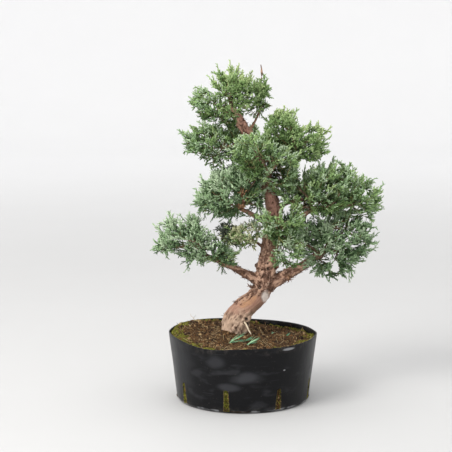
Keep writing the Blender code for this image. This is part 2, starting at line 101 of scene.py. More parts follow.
class Shader:
    """A material in the making, with the few ways that its nodes are added."""

    def __init__(self, name: str) -> None:
        """Starts an empty material.

        Args:
            name: the material's name.
        """
        self.material = bpy.data.materials.new(name)
        self.material.use_nodes = True
        self.tree = self.material.node_tree
        self.tree.nodes.clear()

    def node(
        self, kind: str, settings: dict | None = None, sockets: dict | None = None, output: int = 0
    ) -> Signal:
        """Adds any node.

        Args:
            kind: the node's type after "ShaderNode".
            settings: its properties, or the stops of a ramp, which are set first.
            sockets: values or links by socket name or index.
            output: which output is returned.

        Returns:
            The chosen output.
        """
        made = self.tree.nodes.new(f"ShaderNode{kind}")
        for name, value in (settings or {}).items():
            if name == "stops":
                self._set_stops(made.color_ramp, value)
            else:
                setattr(made, name, value)
        for name, value in (sockets or {}).items():
            socket = made.inputs[name]
            if isinstance(value, Signal):
                self.tree.links.new(value.socket, socket)
            elif socket.type == "RGBA":
                socket.default_value = (*value[:3], 1.0)
            else:
                socket.default_value = value
        return Signal(self, made.outputs[output] if made.outputs else None)

    @staticmethod
    def _set_stops(ramp: bpy.types.ColorRamp, stops: Sequence[tuple[float, Triple]]) -> None:
        """Gives a ramp its stops.

        Args:
            ramp: the ramp, which starts with two.
            stops: the place and the colour of each.
        """
        while len(ramp.elements) < len(stops):
            ramp.elements.new(1.0)
        for element, (place, colour) in zip(ramp.elements, stops):
            element.position = place
            element.color = (*colour, 1.0)

    def vector(self, operation: str, *values: Signal | Triple, output: int = 0) -> Signal:
        """A Vector Math node's result, which is output 1 where it is a number."""
        return self.node("VectorMath", {"operation": operation}, dict(enumerate(values)), output)

    def place(self, stretch: Triple = (1.0, 1.0, 1.0)) -> Signal:
        """The point on the object in millimetres, squeezed along each axis by the given factors."""
        spot = self.node("TexCoord", output=3)
        return self.vector("MULTIPLY", spot, tuple(value / MM for value in stretch))

    def away(self, where: Signal, centre: Triple, half: Triple) -> Signal:
        """How far a point lies from a centre, with half as the unit along each axis."""
        share = self.vector("DIVIDE", self.vector("SUBTRACT", where, centre), half)
        return self.vector("LENGTH", share, output=1)

    def stored(self, name: str, output: int = 2) -> Signal:
        """An attribute kept on the mesh: output 2 is a number and 1 a vector."""
        return self.node("Attribute", {"attribute_name": name}, output=output)

    def clouds(self, where: Signal, size: float, detail: float = 3.0, roughness: float = 0.55) -> Signal:
        """Soft noise from 0 to 1.

        Args:
            where: the coordinate, in millimetres.
            size: how far apart its lumps lie, in millimetres.
            detail: how many finer layers are added.
            roughness: how strong the finer layers are.

        Returns:
            The noise value.
        """
        sockets = {"Vector": where, "Scale": 1 / size, "Detail": detail, "Roughness": roughness}
        return self.node("TexNoise", None, sockets)

    def blend(self, share: Signal | float, first: Signal | Triple, second: Signal | Triple) -> Signal:
        """Mixes two colours, from the first at 0 to the second at 1."""
        return self.node("Mix", {"data_type": "RGBA"}, {0: share, 6: first, 7: second}, output=2)

    def ramp(self, share: Signal, *colours: Triple, middle: float = 0.5) -> Signal:
        """Three colours along a value, the second at this middle place."""
        return self.node("ValToRGB", {"stops": tuple(zip((0.0, middle, 1.0), colours))}, {0: share})

    def bump(self, height: Signal, distance: float, strength: float = 1.0) -> Signal:
        """A normal from a height that runs from 0 to 1 over this distance in millimetres."""
        return self.node("Bump", None, {"Height": height, "Distance": distance * MM, "Strength": strength})

    def finish(self, **sockets: Signal | float | Triple) -> bpy.types.Material:
        """Ends in a Principled surface.

        Args:
            sockets: values or links by socket name, with _ for its spaces.

        Returns:
            The finished material.
        """
        named = {name.replace("_", " "): value for name, value in sockets.items()}
        surface = self.node("BsdfPrincipled", None, named)
        self.node("OutputMaterial", None, {"Surface": surface})
        return self.material


@dataclass(frozen=True)
class PlainFinish:
    """One even colour, for small leaves whose colour is dealt out by spray."""

    name: str
    colour: Triple
    roughness: float = 0.6
    shine: float = 0.3

    def make(self) -> bpy.types.Material:
        """The material."""
        return Shader(self.name).finish(
            Base_Color=self.colour, Roughness=self.roughness, Specular_IOR_Level=self.shine
        )


@dataclass(frozen=True)
class MottledFinish:
    """A matt finish that wanders between three colours, for soil, moss, roots and twigs."""

    name: str
    dark: Triple
    middle: Triple
    light: Triple
    size: float = 3.0
    roughness: float = 0.9
    grain: float = 0.15
    shine: float = 0.25

    def make(self) -> bpy.types.Material:
        """Mixes broad and fine clouds of the three colours.

        Returns:
            The material.
        """
        shader = Shader(self.name)
        where = shader.place()
        broad = shader.clouds(where, self.size * 3, 2.0)
        fine = shader.clouds(where, self.size, 4.0, 0.65)
        share = (broad * 0.45 + fine * 0.75 - 0.1).band(0.2, 0.8)
        return shader.finish(
            Base_Color=shader.ramp(share, self.dark, self.middle, self.light),
            Roughness=self.roughness,
            Normal=shader.bump(shader.clouds(where, self.size * 0.3), self.grain),
            Specular_IOR_Level=self.shine,
        )


@dataclass(frozen=True)
class PlasticFinish:
    """Thin black nursery plastic: satin, with dull smears, dust, fine scratches and a painted highlight along
    its foot and on its rim.
    """

    name: str = "black_plastic"
    black: Triple = (0.0050, 0.0052, 0.0060)
    smear: Triple = (0.036, 0.037, 0.041)
    dust: Triple = (0.085, 0.074, 0.064)
    # The grey of the painted highlights on the foot, the rim and the wall
    painted_highlight: Triple = (0.27, 0.275, 0.285)
    shine: float = 0.14
    # Dull smears: centre, half sizes and strength
    smears: tuple[tuple[Triple, Triple, float], ...] = (
        ((4.0, -70.0, 38.0), (17.0, 30.0, 7.0), 1.0), ((-15.0, -68.0, 27.5), (13.0, 30.0, 4.0), 0.8),
        ((-28.0, -64.0, 53.0), (11.0, 30.0, 8.0), 0.6), ((-62.0, -30.0, 40.0), (16.0, 34.0, 30.0), 0.35),
        ((40.0, 60.0, 42.0), (26.0, 34.0, 9.0), 0.7), ((66.0, 10.0, 30.0), (20.0, 22.0, 7.0), 0.6),
        ((-50.0, 48.0, 30.0), (30.0, 30.0, 9.0), 0.7),
    )
    # Painted highlights, one on the rim and one on the wall: centre and half sizes
    glints: tuple[tuple[Triple, Triple], ...] = (
        ((45.0, -58.0, 64.5), (8.0, 9.0, 1.5)), ((41.0, -60.0, 43.0), (1.2, 9.0, 0.8)),
    )
    rim_height: float = 67.0
    dusty_rim: float = 9.0
    dusty_foot: float = 9.0
    satin: float = 0.30
    dull: float = 0.56

    def make(self) -> bpy.types.Material:
        """Lays smears, scratches, dust and the painted highlights on the foot, the rim and the wall over the
        black.

        Returns:
            The material.
        """
        shader = Shader(self.name)
        where = shader.place()
        height = shader.node("SeparateXYZ", None, {0: where}, output=2)
        wisps = shader.clouds(shader.place((1.0, 1.0, 2.4)), 26.0, 2.0, 0.5)
        cloud = wisps.band(0.55, 0.72) * 0.45
        for centre, half, share in self.smears:
            cloud = cloud | ((shader.away(where, centre, half) + wisps * 1.1).band(1.75, 0.85) * share)
        speck = shader.clouds(where, 1.6, 2.0).band(0.66, 0.76)
        scratch = shader.clouds(shader.place((0.05, 0.05, 1.4)), 1.3, 1.0).band(0.70, 0.76)
        at_rim = height.band(self.rim_height - self.dusty_rim, self.rim_height)
        settled = (at_rim | height.band(self.dusty_foot, 1.0)) * 0.6
        grime = (shader.clouds(where, 7.0, 4.0, 0.7).band(0.45, 0.75) * settled) | (speck * 0.35)
        smeared = shader.blend(cloud, self.black, self.smear)
        scored = shader.blend(scratch * 0.35, smeared, self.smear)
        dusty = shader.blend(grime, scored, self.dust)
        # A painted highlight in patches along the rounded foot, and at the glints
        foot = height.band(0.2, 1.2) * height.band(3.8, 2.2)
        highlight_share = foot * shader.clouds(where, 15.0, 2.0).band(0.46, 0.58)
        for centre, half in self.glints:
            highlight_share = highlight_share | shader.away(where, centre, half).band(1.1, 0.6)
        ripple = shader.clouds(shader.place((1.0, 1.0, 0.5)), 9.0, 2.0) + shader.clouds(where, 0.7) * 0.05
        return shader.finish(
            Base_Color=shader.blend(highlight_share * 0.85, dusty, self.painted_highlight),
            Roughness=self.satin + cloud * (self.dull - self.satin) + grime * 0.3,
            Normal=shader.bump(ripple, 0.35, 0.6),
            IOR=1.5,
            Specular_IOR_Level=self.shine,
        )


@dataclass(frozen=True)
class BarkFinish:
    """Reddish fibrous bark with painted shade in its cracks, a painted highlight on its ridges, and smooth,
    pale or stained places.
    """

    name: str = "juniper_bark"
    # The flaky bark's colours by relief: the darkest for the cracks and the painted shade in them and in the
    # hollows, the lightest for the ridges and a painted highlight on them
    crack_and_shade: Triple = (0.020, 0.011, 0.008)
    fibre: Triple = (0.150, 0.076, 0.047)
    ridge_and_highlight: Triple = (0.470, 0.290, 0.200)
    smooth_low: Triple = (0.240, 0.118, 0.077)
    smooth_high: Triple = (0.500, 0.295, 0.212)
    # The roots' colours by relief: the dark one for the grooves and the painted shade in them, the light one
    # for the ridges and a painted highlight on them
    root_groove_and_shade: Triple = (0.075, 0.042, 0.026)
    root_ridge_and_highlight: Triple = (0.540, 0.385, 0.280)
    stain: Triple = (0.450, 0.235, 0.105)
    wood: Triple = (0.860, 0.760, 0.690)
    lichen: Triple = (0.230, 0.215, 0.150)
    # The bark's own ruddy colour, made lighter as painted light where the crown shades the trunk
    red: Triple = (0.580, 0.300, 0.235)
    fibre_place: float = 0.45

    def make(self) -> bpy.types.Material:
        """Lays each kind of bark over the flaky one by what the mesh stores of it.

        Returns:
            The material.
        """
        shader = Shader(self.name)
        grain = shader.stored("grain", 1)
        relief = shader.stored("relief")
        wood = shader.stored("wood")
        where = shader.place()
        streak = shader.clouds(grain, 1.1, 4.0, 0.62)
        patch = shader.clouds(where, 9.0, 2.0)
        # The colour follows the stored relief: painted shade in the low cracks and a painted highlight on the
        # raised ridges, over the streaks' own tone
        tone = (relief * 0.85 + streak * 0.5 - 0.21).band(0.0, 1.0)
        flaky = shader.ramp(tone, self.crack_and_shade, self.fibre, self.ridge_and_highlight, middle=self.fibre_place)
        calm_share = (streak * 0.8 + patch * 0.5 - 0.15).band(0.2, 0.9)
        calm = shader.blend(calm_share, self.smooth_low, self.smooth_high)
        # The roots' colour follows their flutes: painted shade in the grooves and a painted highlight on the
        # ridges
        rooty_share = (relief * 1.05 + streak * 0.9 - 0.56).band(0.1, 0.85)
        rooty = shader.blend(rooty_share, self.root_groove_and_shade, self.root_ridge_and_highlight)
        colour = shader.blend(shader.stored("smooth"), flaky, calm)
        colour = shader.blend(shader.stored("root"), colour, rooty)
        stained = shader.stored("stain") * streak.band(0.25, 0.7) * patch.band(0.2, 0.6) * 0.85
        colour = shader.blend(stained, colour, self.stain)
        grey = shader.clouds(where, 5.0, 4.0, 0.7).band(0.58, 0.72) * 0.35
        colour = shader.blend(grey, colour, self.lichen)
        colour = shader.blend(shader.stored("red") * streak.band(0.2, 0.6), colour, self.red)
        # Pale wood on the scar, and the painted highlight on two knots
        colour = shader.blend(wood * (patch * 0.5 + 0.75), colour, self.wood)
        # Painted shade in the hollows, and the dark ends of dead stubs
        colour = shader.blend(shader.stored("dark"), colour, self.crack_and_shade)
        height = (streak * 0.7 + shader.clouds(grain, 0.45, 3.0, 0.6) * 0.4) * (1.0 - wood)
        return shader.finish(Base_Color=colour, Roughness=0.86, Normal=shader.bump(height, 0.5, 0.8))


@dataclass(frozen=True)
class FloorFinish:
    """The pale studio floor, paler still towards the wall that it rises into."""

    name: str = "pale_floor"
    low: Triple = (0.510, 0.508, 0.506)
    high: Triple = (0.860, 0.860, 0.865)
    near: float = 600.0
    far: float = 2700.0

    def make(self) -> bpy.types.Material:
        """Grades the colour by distance from the pot.

        Returns:
            The material.
        """
        shader = Shader(self.name)
        away = shader.vector("LENGTH", shader.place(), output=1)
        share = away.band(self.near, self.far) * 0.94 + shader.clouds(shader.place(), 180.0, 3.0) * 0.06
        return shader.finish(Base_Color=shader.blend(share, self.low, self.high), Roughness=0.7)


class Shade(Enum):
    """The plain colours that the sprays are dealt."""

    BARE = PlainFinish("spray_bare", (0.160, 0.125, 0.068))
    OLIVE = PlainFinish("spray_olive", (0.225, 0.245, 0.085))
    DEEP = PlainFinish("spray_deep", (0.046, 0.092, 0.024))
    GREEN = PlainFinish("spray_green", (0.138, 0.235, 0.074))
    LEAF = PlainFinish("spray_leaf", (0.270, 0.410, 0.150))
    FRESH = PlainFinish("spray_fresh", (0.385, 0.520, 0.225))
    YELLOW = PlainFinish("spray_yellow", (0.475, 0.600, 0.262))
    TEAL = PlainFinish("spray_teal", (0.108, 0.190, 0.080))
    BLUE = PlainFinish("spray_blue", (0.305, 0.445, 0.235))
    FROST = PlainFinish("spray_frost", (0.490, 0.620, 0.400))
    PALE = PlainFinish("spray_pale", (0.570, 0.590, 0.345))
    RUST = PlainFinish("spray_rust", (0.270, 0.115, 0.060))
    TAN = PlainFinish("spray_tan", (0.380, 0.205, 0.110))
    DRY = PlainFinish("spray_dry", (0.080, 0.095, 0.068))

    @property
    def index(self) -> int:
        """Its place among a piece's materials."""
        return list(Shade).index(self)


class Tone(Enum):
    """Shades from the inside of a mass to its lightest tips."""

    BLUE = (Shade.OLIVE, Shade.TEAL, Shade.TEAL, Shade.BLUE, Shade.BLUE, Shade.FROST, Shade.FROST)
    GREEN = (Shade.OLIVE, Shade.DEEP, Shade.GREEN, Shade.BLUE, Shade.LEAF, Shade.FROST, Shade.FRESH)
    FRESH = (Shade.OLIVE, Shade.DEEP, Shade.GREEN, Shade.LEAF, Shade.LEAF, Shade.FRESH, Shade.YELLOW)
    OLIVE = (Shade.OLIVE, Shade.OLIVE, Shade.LEAF, Shade.PALE, Shade.PALE, Shade.FROST, Shade.FROST)


class Ground(Enum):
    """The finishes of the soil, of what lies on it and of the bare twigs."""

    MIX = MottledFinish("potting_mix", (0.012, 0.007, 0.004), (0.06, 0.031, 0.012), (0.15, 0.085, 0.032), 2.2)
    BARK = MottledFinish("crumb_bark", (0.050, 0.024, 0.010), (0.14, 0.070, 0.027), (0.26, 0.145, 0.062), 1.6)
    PEAT = MottledFinish("crumb_peat", (0.01, 0.006, 0.004), (0.032, 0.018, 0.009), (0.075, 0.043, 0.02), 1.6)
    STRAW = MottledFinish("crumb_straw", (0.17, 0.10, 0.045), (0.33, 0.215, 0.10), (0.52, 0.38, 0.20), 1.6)
    FIBRE = MottledFinish("root_fibre", (0.035, 0.017, 0.008), (0.12, 0.062, 0.028), (0.27, 0.165, 0.08), 5.0)
    STALK = MottledFinish("dry_stalk", (0.28, 0.19, 0.09), (0.45, 0.33, 0.17), (0.62, 0.50, 0.30), 2.0)
    ROOT = MottledFinish("pale_root", (0.50, 0.40, 0.27), (0.68, 0.57, 0.42), (0.78, 0.68, 0.54), 2.0)
    PEEL = MottledFinish("peeling_bark", (0.045, 0.024, 0.017), (0.19, 0.100, 0.066), (0.50, 0.33, 0.25), 2.6)
    TWIG = MottledFinish("boughlet_bark", (0.06, 0.042, 0.024), (0.165, 0.115, 0.07), (0.32, 0.235, 0.16), 2.5)
    YOUNG = MottledFinish("young_twig", (0.09, 0.078, 0.034), (0.165, 0.15, 0.062), (0.24, 0.24, 0.105), 4.0)
    DEEP_MOSS = PlainFinish("moss_deep", (0.085, 0.085, 0.012), 0.9)
    GREEN_MOSS = PlainFinish("moss_green", (0.175, 0.185, 0.022), 0.9)
    BRIGHT_MOSS = PlainFinish("moss_bright", (0.34, 0.34, 0.040), 0.9)
    TEAL_SPRIG = PlainFinish("sprig_teal", (0.10, 0.32, 0.18))
    LIGHT_SPRIG = PlainFinish("sprig_light", (0.30, 0.52, 0.30))


def unit(rows: Array) -> Array:
    """Rows scaled to length one."""
    return rows / np.maximum(np.linalg.norm(rows, axis=-1, keepdims=True), 1e-9)


def step(values: Array | float, low: float, high: float) -> Array:
    """A smooth step from 0 at low to 1 at high."""
    share = np.clip((np.asarray(values) - low) / (high - low), 0.0, 1.0)
    return share * share * (3 - 2 * share)


def hump(values: Array, middle: float, spread: float) -> Array:
    """A smooth hump of height one at a middle value, which falls off over this spread."""
    return np.exp(-(((values - middle) / spread) ** 2))


def rough(points: Array, size: float, shift: float = 0.0) -> Array:
    """Gradient noise from about -1 to 1 at each row, with lumps of this size in millimetres."""
    return np.array([noise.noise(row) for row in (points / size + shift).tolist()])


def heading(turn: float) -> tuple[Array, Array]:
    """The level way in a direction and the level way across it."""
    out = np.array((math.cos(turn), math.sin(turn), 0.0))
    return out, np.array((-out[1], out[0], 0.0))


def frames(centres: Array) -> tuple[Array, Array, Array]:
    """Directions along a path that don't twist.

    Args:
        centres: the path's points, one to a row.

    Returns:
        At each point the way along the path and two ways across it.
    """
    ways = unit(np.gradient(centres, axis=0))
    side = np.cross(ways[0], UP if abs(ways[0][2]) < 0.9 else (1.0, 0.0, 0.0))
    sides = []
    for way in ways:
        side = unit(side - way * (side @ way))
        sides.append(side)
    return ways, np.array(sides), np.cross(ways, sides)


def bands(rings: int, sides: int) -> Array:
    """The triangles between rings of points that follow each other.

    Args:
        rings: how many rings there are.
        sides: how many points each has.

    Returns:
        The triangles.
    """
    ring = np.arange(sides)
    low = (np.arange(rings - 1) * sides)[:, None]
    a, b = (low + ring).ravel(), (low + (ring + 1) % sides).ravel()
    return np.vstack([np.stack([a, b, b + sides], 1), np.stack([a, b + sides, a + sides], 1)])


def fan(first: int, sides: int, hub: int, below: bool = False) -> Array:
    """The triangles that close a ring.

    Args:
        first: the place of the ring's first point.
        sides: how many points it has.
        hub: the place of the point that closes it.
        below: whether the hub lies before the ring, as a foot does.

    Returns:
        The triangles.
    """
    ring = first + np.arange(sides)
    after = first + (np.arange(sides) + 1) % sides
    pair = (after, ring) if below else (ring, after)
    return np.stack([*pair, np.full(sides, hub)], 1)


def tube(
    path: Array, sides: int, swell: Array | float = 1.0, twist: float = 0.0, closed: bool = True
) -> tuple[Array, Array]:
    """The skin round a path, which ends in a point at its last row.

    Args:
        path: rows of x, y, z and radius.
        sides: how many sides it has.
        swell: a factor on the radius at each row but the last and at each side.
        twist: how far each ring is turned against the one before.
        closed: whether its foot is closed.

    Returns:
        The points and the triangles.
    """
    rows = path[:-1]
    count = len(rows)
    _, side, across = frames(path[:, :3])
    turn = math.tau * np.arange(sides) / sides + twist * np.arange(count)[:, None]
    reach = rows[:, 3:4] * swell
    rings = rows[:, None, :3] + (reach * np.cos(turn))[..., None] * side[:count, None]
    rings = rings + (reach * np.sin(turn))[..., None] * across[:count, None]
    points = [rings.reshape(-1, 3), path[-1:, :3]]
    faces = [bands(count, sides), fan((count - 1) * sides, sides, count * sides)]
    if closed:
        points.append(rows[:1, :3])
        faces.append(fan(0, sides, count * sides + 1, below=True))
    return np.vstack(points), np.vstack(faces)


def lathe(rings: Array) -> tuple[Array, Array]:
    """The closed skin over rings of points that run from the middle of the underside outward and back.

    Args:
        rings: points by ring, by place in the ring and by axis.

    Returns:
        The points and the triangles.
    """
    count, sides = rings.shape[:2]
    foot, top = count * sides, count * sides + 1
    faces = [bands(count, sides), fan(0, sides, foot, below=True), fan((count - 1) * sides, sides, top)]
    middles = np.array([rings[0].mean(0), rings[-1].mean(0)])
    return np.vstack([rings.reshape(-1, 3), middles]), np.vstack(faces)


def smooth_path(stations: Sequence[Sequence[float]], spacing: float) -> Array:
    """A Catmull-Rom curve through stations.

    Args:
        stations: rows of x, y, z and diameter.
        spacing: about how far apart its points lie.

    Returns:
        Rows of x, y, z and radius.
    """
    rows = np.array(stations, float)
    rows[:, 3] /= 2
    rows = np.vstack([2 * rows[0] - rows[1], rows, 2 * rows[-1] - rows[-2]])
    path = []
    for a, b, c, d in zip(rows, rows[1:], rows[2:], rows[3:]):
        pieces = max(1, round(float(np.linalg.norm((c - b)[:3])) / spacing))
        square, cube = 2 * a - 5 * b + 4 * c - d, 3 * b - a - 3 * c + d
        for t in np.arange(pieces) / pieces:
            path.append((2 * b + (c - a) * t + square * t**2 + cube * t**3) / 2)
    path.append(rows[-2])
    return np.array(path)


class Pile:
    """Triangles gathered from arrays until they become one mesh."""

    def __init__(self) -> None:
        """Starts empty."""
        self.points: list[Array] = []
        self.faces: list[Array] = []
        self.shades: list[Array] = []
        self.count = 0

    def add(self, points: Array, faces: Array, shade: int | Array = 0) -> None:
        """Adds a shape.

        Args:
            points: its points in millimetres.
            faces: its triangles, as rows of places in points.
            shade: the material of all its faces, or of each.
        """
        self.points.append(points)
        self.faces.append(faces + self.count)
        self.shades.append(np.broadcast_to(shade, len(faces)))
        self.count += len(points)

    def make(self, name: str, finishes: Sequence[bpy.types.Material], smooth: bool = True) -> bpy.types.Object:
        """Turns the pile into an object in metres.

        Args:
            name: the piece's name.
            finishes: its materials.
            smooth: whether its faces are shaded smooth.

        Returns:
            The object.
        """
        points = np.concatenate(self.points) * MM
        faces = np.concatenate(self.faces).astype(np.int32)
        mesh = bpy.data.meshes.new(name)
        mesh.vertices.add(len(points))
        mesh.vertices.foreach_set("co", points.ravel())
        mesh.loops.add(faces.size)
        mesh.loops.foreach_set("vertex_index", faces.ravel())
        mesh.polygons.add(len(faces))
        mesh.polygons.foreach_set("loop_start", np.arange(0, faces.size, 3, dtype=np.int32))
        mesh.polygons.foreach_set("material_index", np.concatenate(self.shades).astype(np.int32))
        for finish in finishes:
            mesh.materials.append(finish)
        mesh.update(calc_edges=True)
        if smooth:
            mesh.shade_smooth()
        made = bpy.data.objects.new(name, mesh)
        bpy.context.scene.collection.objects.link(made)
        return made


def settle(piece: bpy.types.Object, slot: str, *nodes: str) -> None:
    """Fixes a piece to the model and reports it.

    Args:
        piece: the piece.
        slot: its material slot, which is not used.
        nodes: the solids that it stands for.
    """
    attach(piece, BODY)
    if nodes:
        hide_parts(*nodes)
    log.info("%s: %d faces", piece.name, len(piece.data.polygons))


def modified(piece: bpy.types.Object) -> bpy.types.Mesh:
    """The mesh of a piece with its modifiers applied."""
    graph = bpy.context.evaluated_depsgraph_get()
    return bpy.data.meshes.new_from_object(piece.evaluated_get(graph))


@dataclass(frozen=True)
class Lamp:
    """One soft square lamp, aimed at the middle of the tree unless another place is given."""

    name: str
    place: Triple
    side: float
    power: float
    colour: Triple = (1.0, 1.0, 1.0)
    aim: Triple = (20.0, 0.0, 180.0)


@dataclass
class Studio:
    """The camera where the photograph was taken, soft light and a pale floor."""

    aside: float = -17.6
    distance: float = 1500.0
    height: float = 401.0
    tilt: float = math.radians(8.36)
    lens: float = 117.2
    sensor: float = 36.0
    floor_flat: float = 600.0
    floor_radius: float = 2700.0
    floor_level: float = -0.2
    floor_sides: int = 128
    sweep: float = 900.0
    wall_top: float = 1900.0
    air: float = 1.0
    lamps: tuple[Lamp, ...] = (
        Lamp("key", (-1250.0, -1150.0, 1500.0), 1.0, 38.0, (1.0, 0.985, 0.96)),
        Lamp("top", (100.0, 100.0, 1900.0), 1.4, 10.0),
        Lamp("front", (-250.0, -2300.0, 450.0), 2.0, 7.0),
    )

    def build(self) -> None:
        """Makes the camera, the lamps, the air and the floor."""
        camera = bpy.data.cameras.new("camera")
        camera.lens = self.lens
        seen = bpy.data.objects.new("camera", camera)
        seen.location = (self.aside * MM, -self.distance * MM, self.height * MM)
        seen.rotation_euler = (math.pi / 2 - self.tilt, 0.0, 0.0)
        bpy.context.scene.collection.objects.link(seen)
        bpy.context.scene.camera = seen
        for lamp in self.lamps:
            self.hang(lamp)
        world = bpy.data.worlds.new("soft_air")
        world.use_nodes = True
        air = world.node_tree.nodes["Background"].inputs
        air["Color"].default_value = (1.0, 1.0, 1.0, 1.0)
        air["Strength"].default_value = self.air
        bpy.context.scene.world = world
        bpy.context.scene.view_settings.view_transform = "Standard"
        self.lay_floor()

    def place_at(self, across: float, down: float, y: float) -> Array:
        """Finds the point that shows at a place in the picture.

        Args:
            across: the place across the picture, of PICTURE units a side.
            down: the place down it.
            y: the point's Y.

        Returns:
            The point.
        """
        units = PICTURE * self.lens / self.sensor
        low, high = math.sin(self.tilt), math.cos(self.tilt)
        rise = (PICTURE / 2 - down) / units
        forward = (self.distance + y) / (high + rise * low)
        x = self.aside + (across - PICTURE / 2) / units * forward
        return np.array((x, y, self.height + forward * (rise * high - low)))

    def hang(self, lamp: Lamp) -> None:
        """Hangs one lamp and turns it to the tree.

        Args:
            lamp: its place, size and light.
        """
        light = bpy.data.lights.new(lamp.name, "AREA")
        light.size = lamp.side
        light.energy = lamp.power
        light.color = lamp.colour
        made = bpy.data.objects.new(lamp.name, light)
        made.location = [value * MM for value in lamp.place]
        away = made.location - type(made.location)([value * MM for value in lamp.aim])
        made.rotation_euler = away.to_track_quat("Z", "Y").to_euler()
        bpy.context.scene.collection.objects.link(made)

    def lay_floor(self) -> None:
        """Lays the round floor, which sweeps up into a wall on every side."""
        line = [(reach, self.floor_level) for reach in (0.0, self.floor_flat, self.floor_radius)]
        for turn in np.linspace(0, math.pi / 2, 17)[1:]:
            reach = self.floor_radius + self.sweep * math.sin(turn)
            line.append((reach, self.sweep * (1 - math.cos(turn))))
        line.append((self.floor_radius + self.sweep, self.wall_top))
        sides = self.floor_sides
        turn = -math.tau * np.arange(sides) / sides
        rings = [np.stack([r * np.cos(turn), r * np.sin(turn), np.full(sides, z)], 1) for r, z in line]
        pile = Pile()
        pile.add(np.concatenate(rings), bands(len(line), sides))
        pile.make("floor", [FloorFinish().make()])


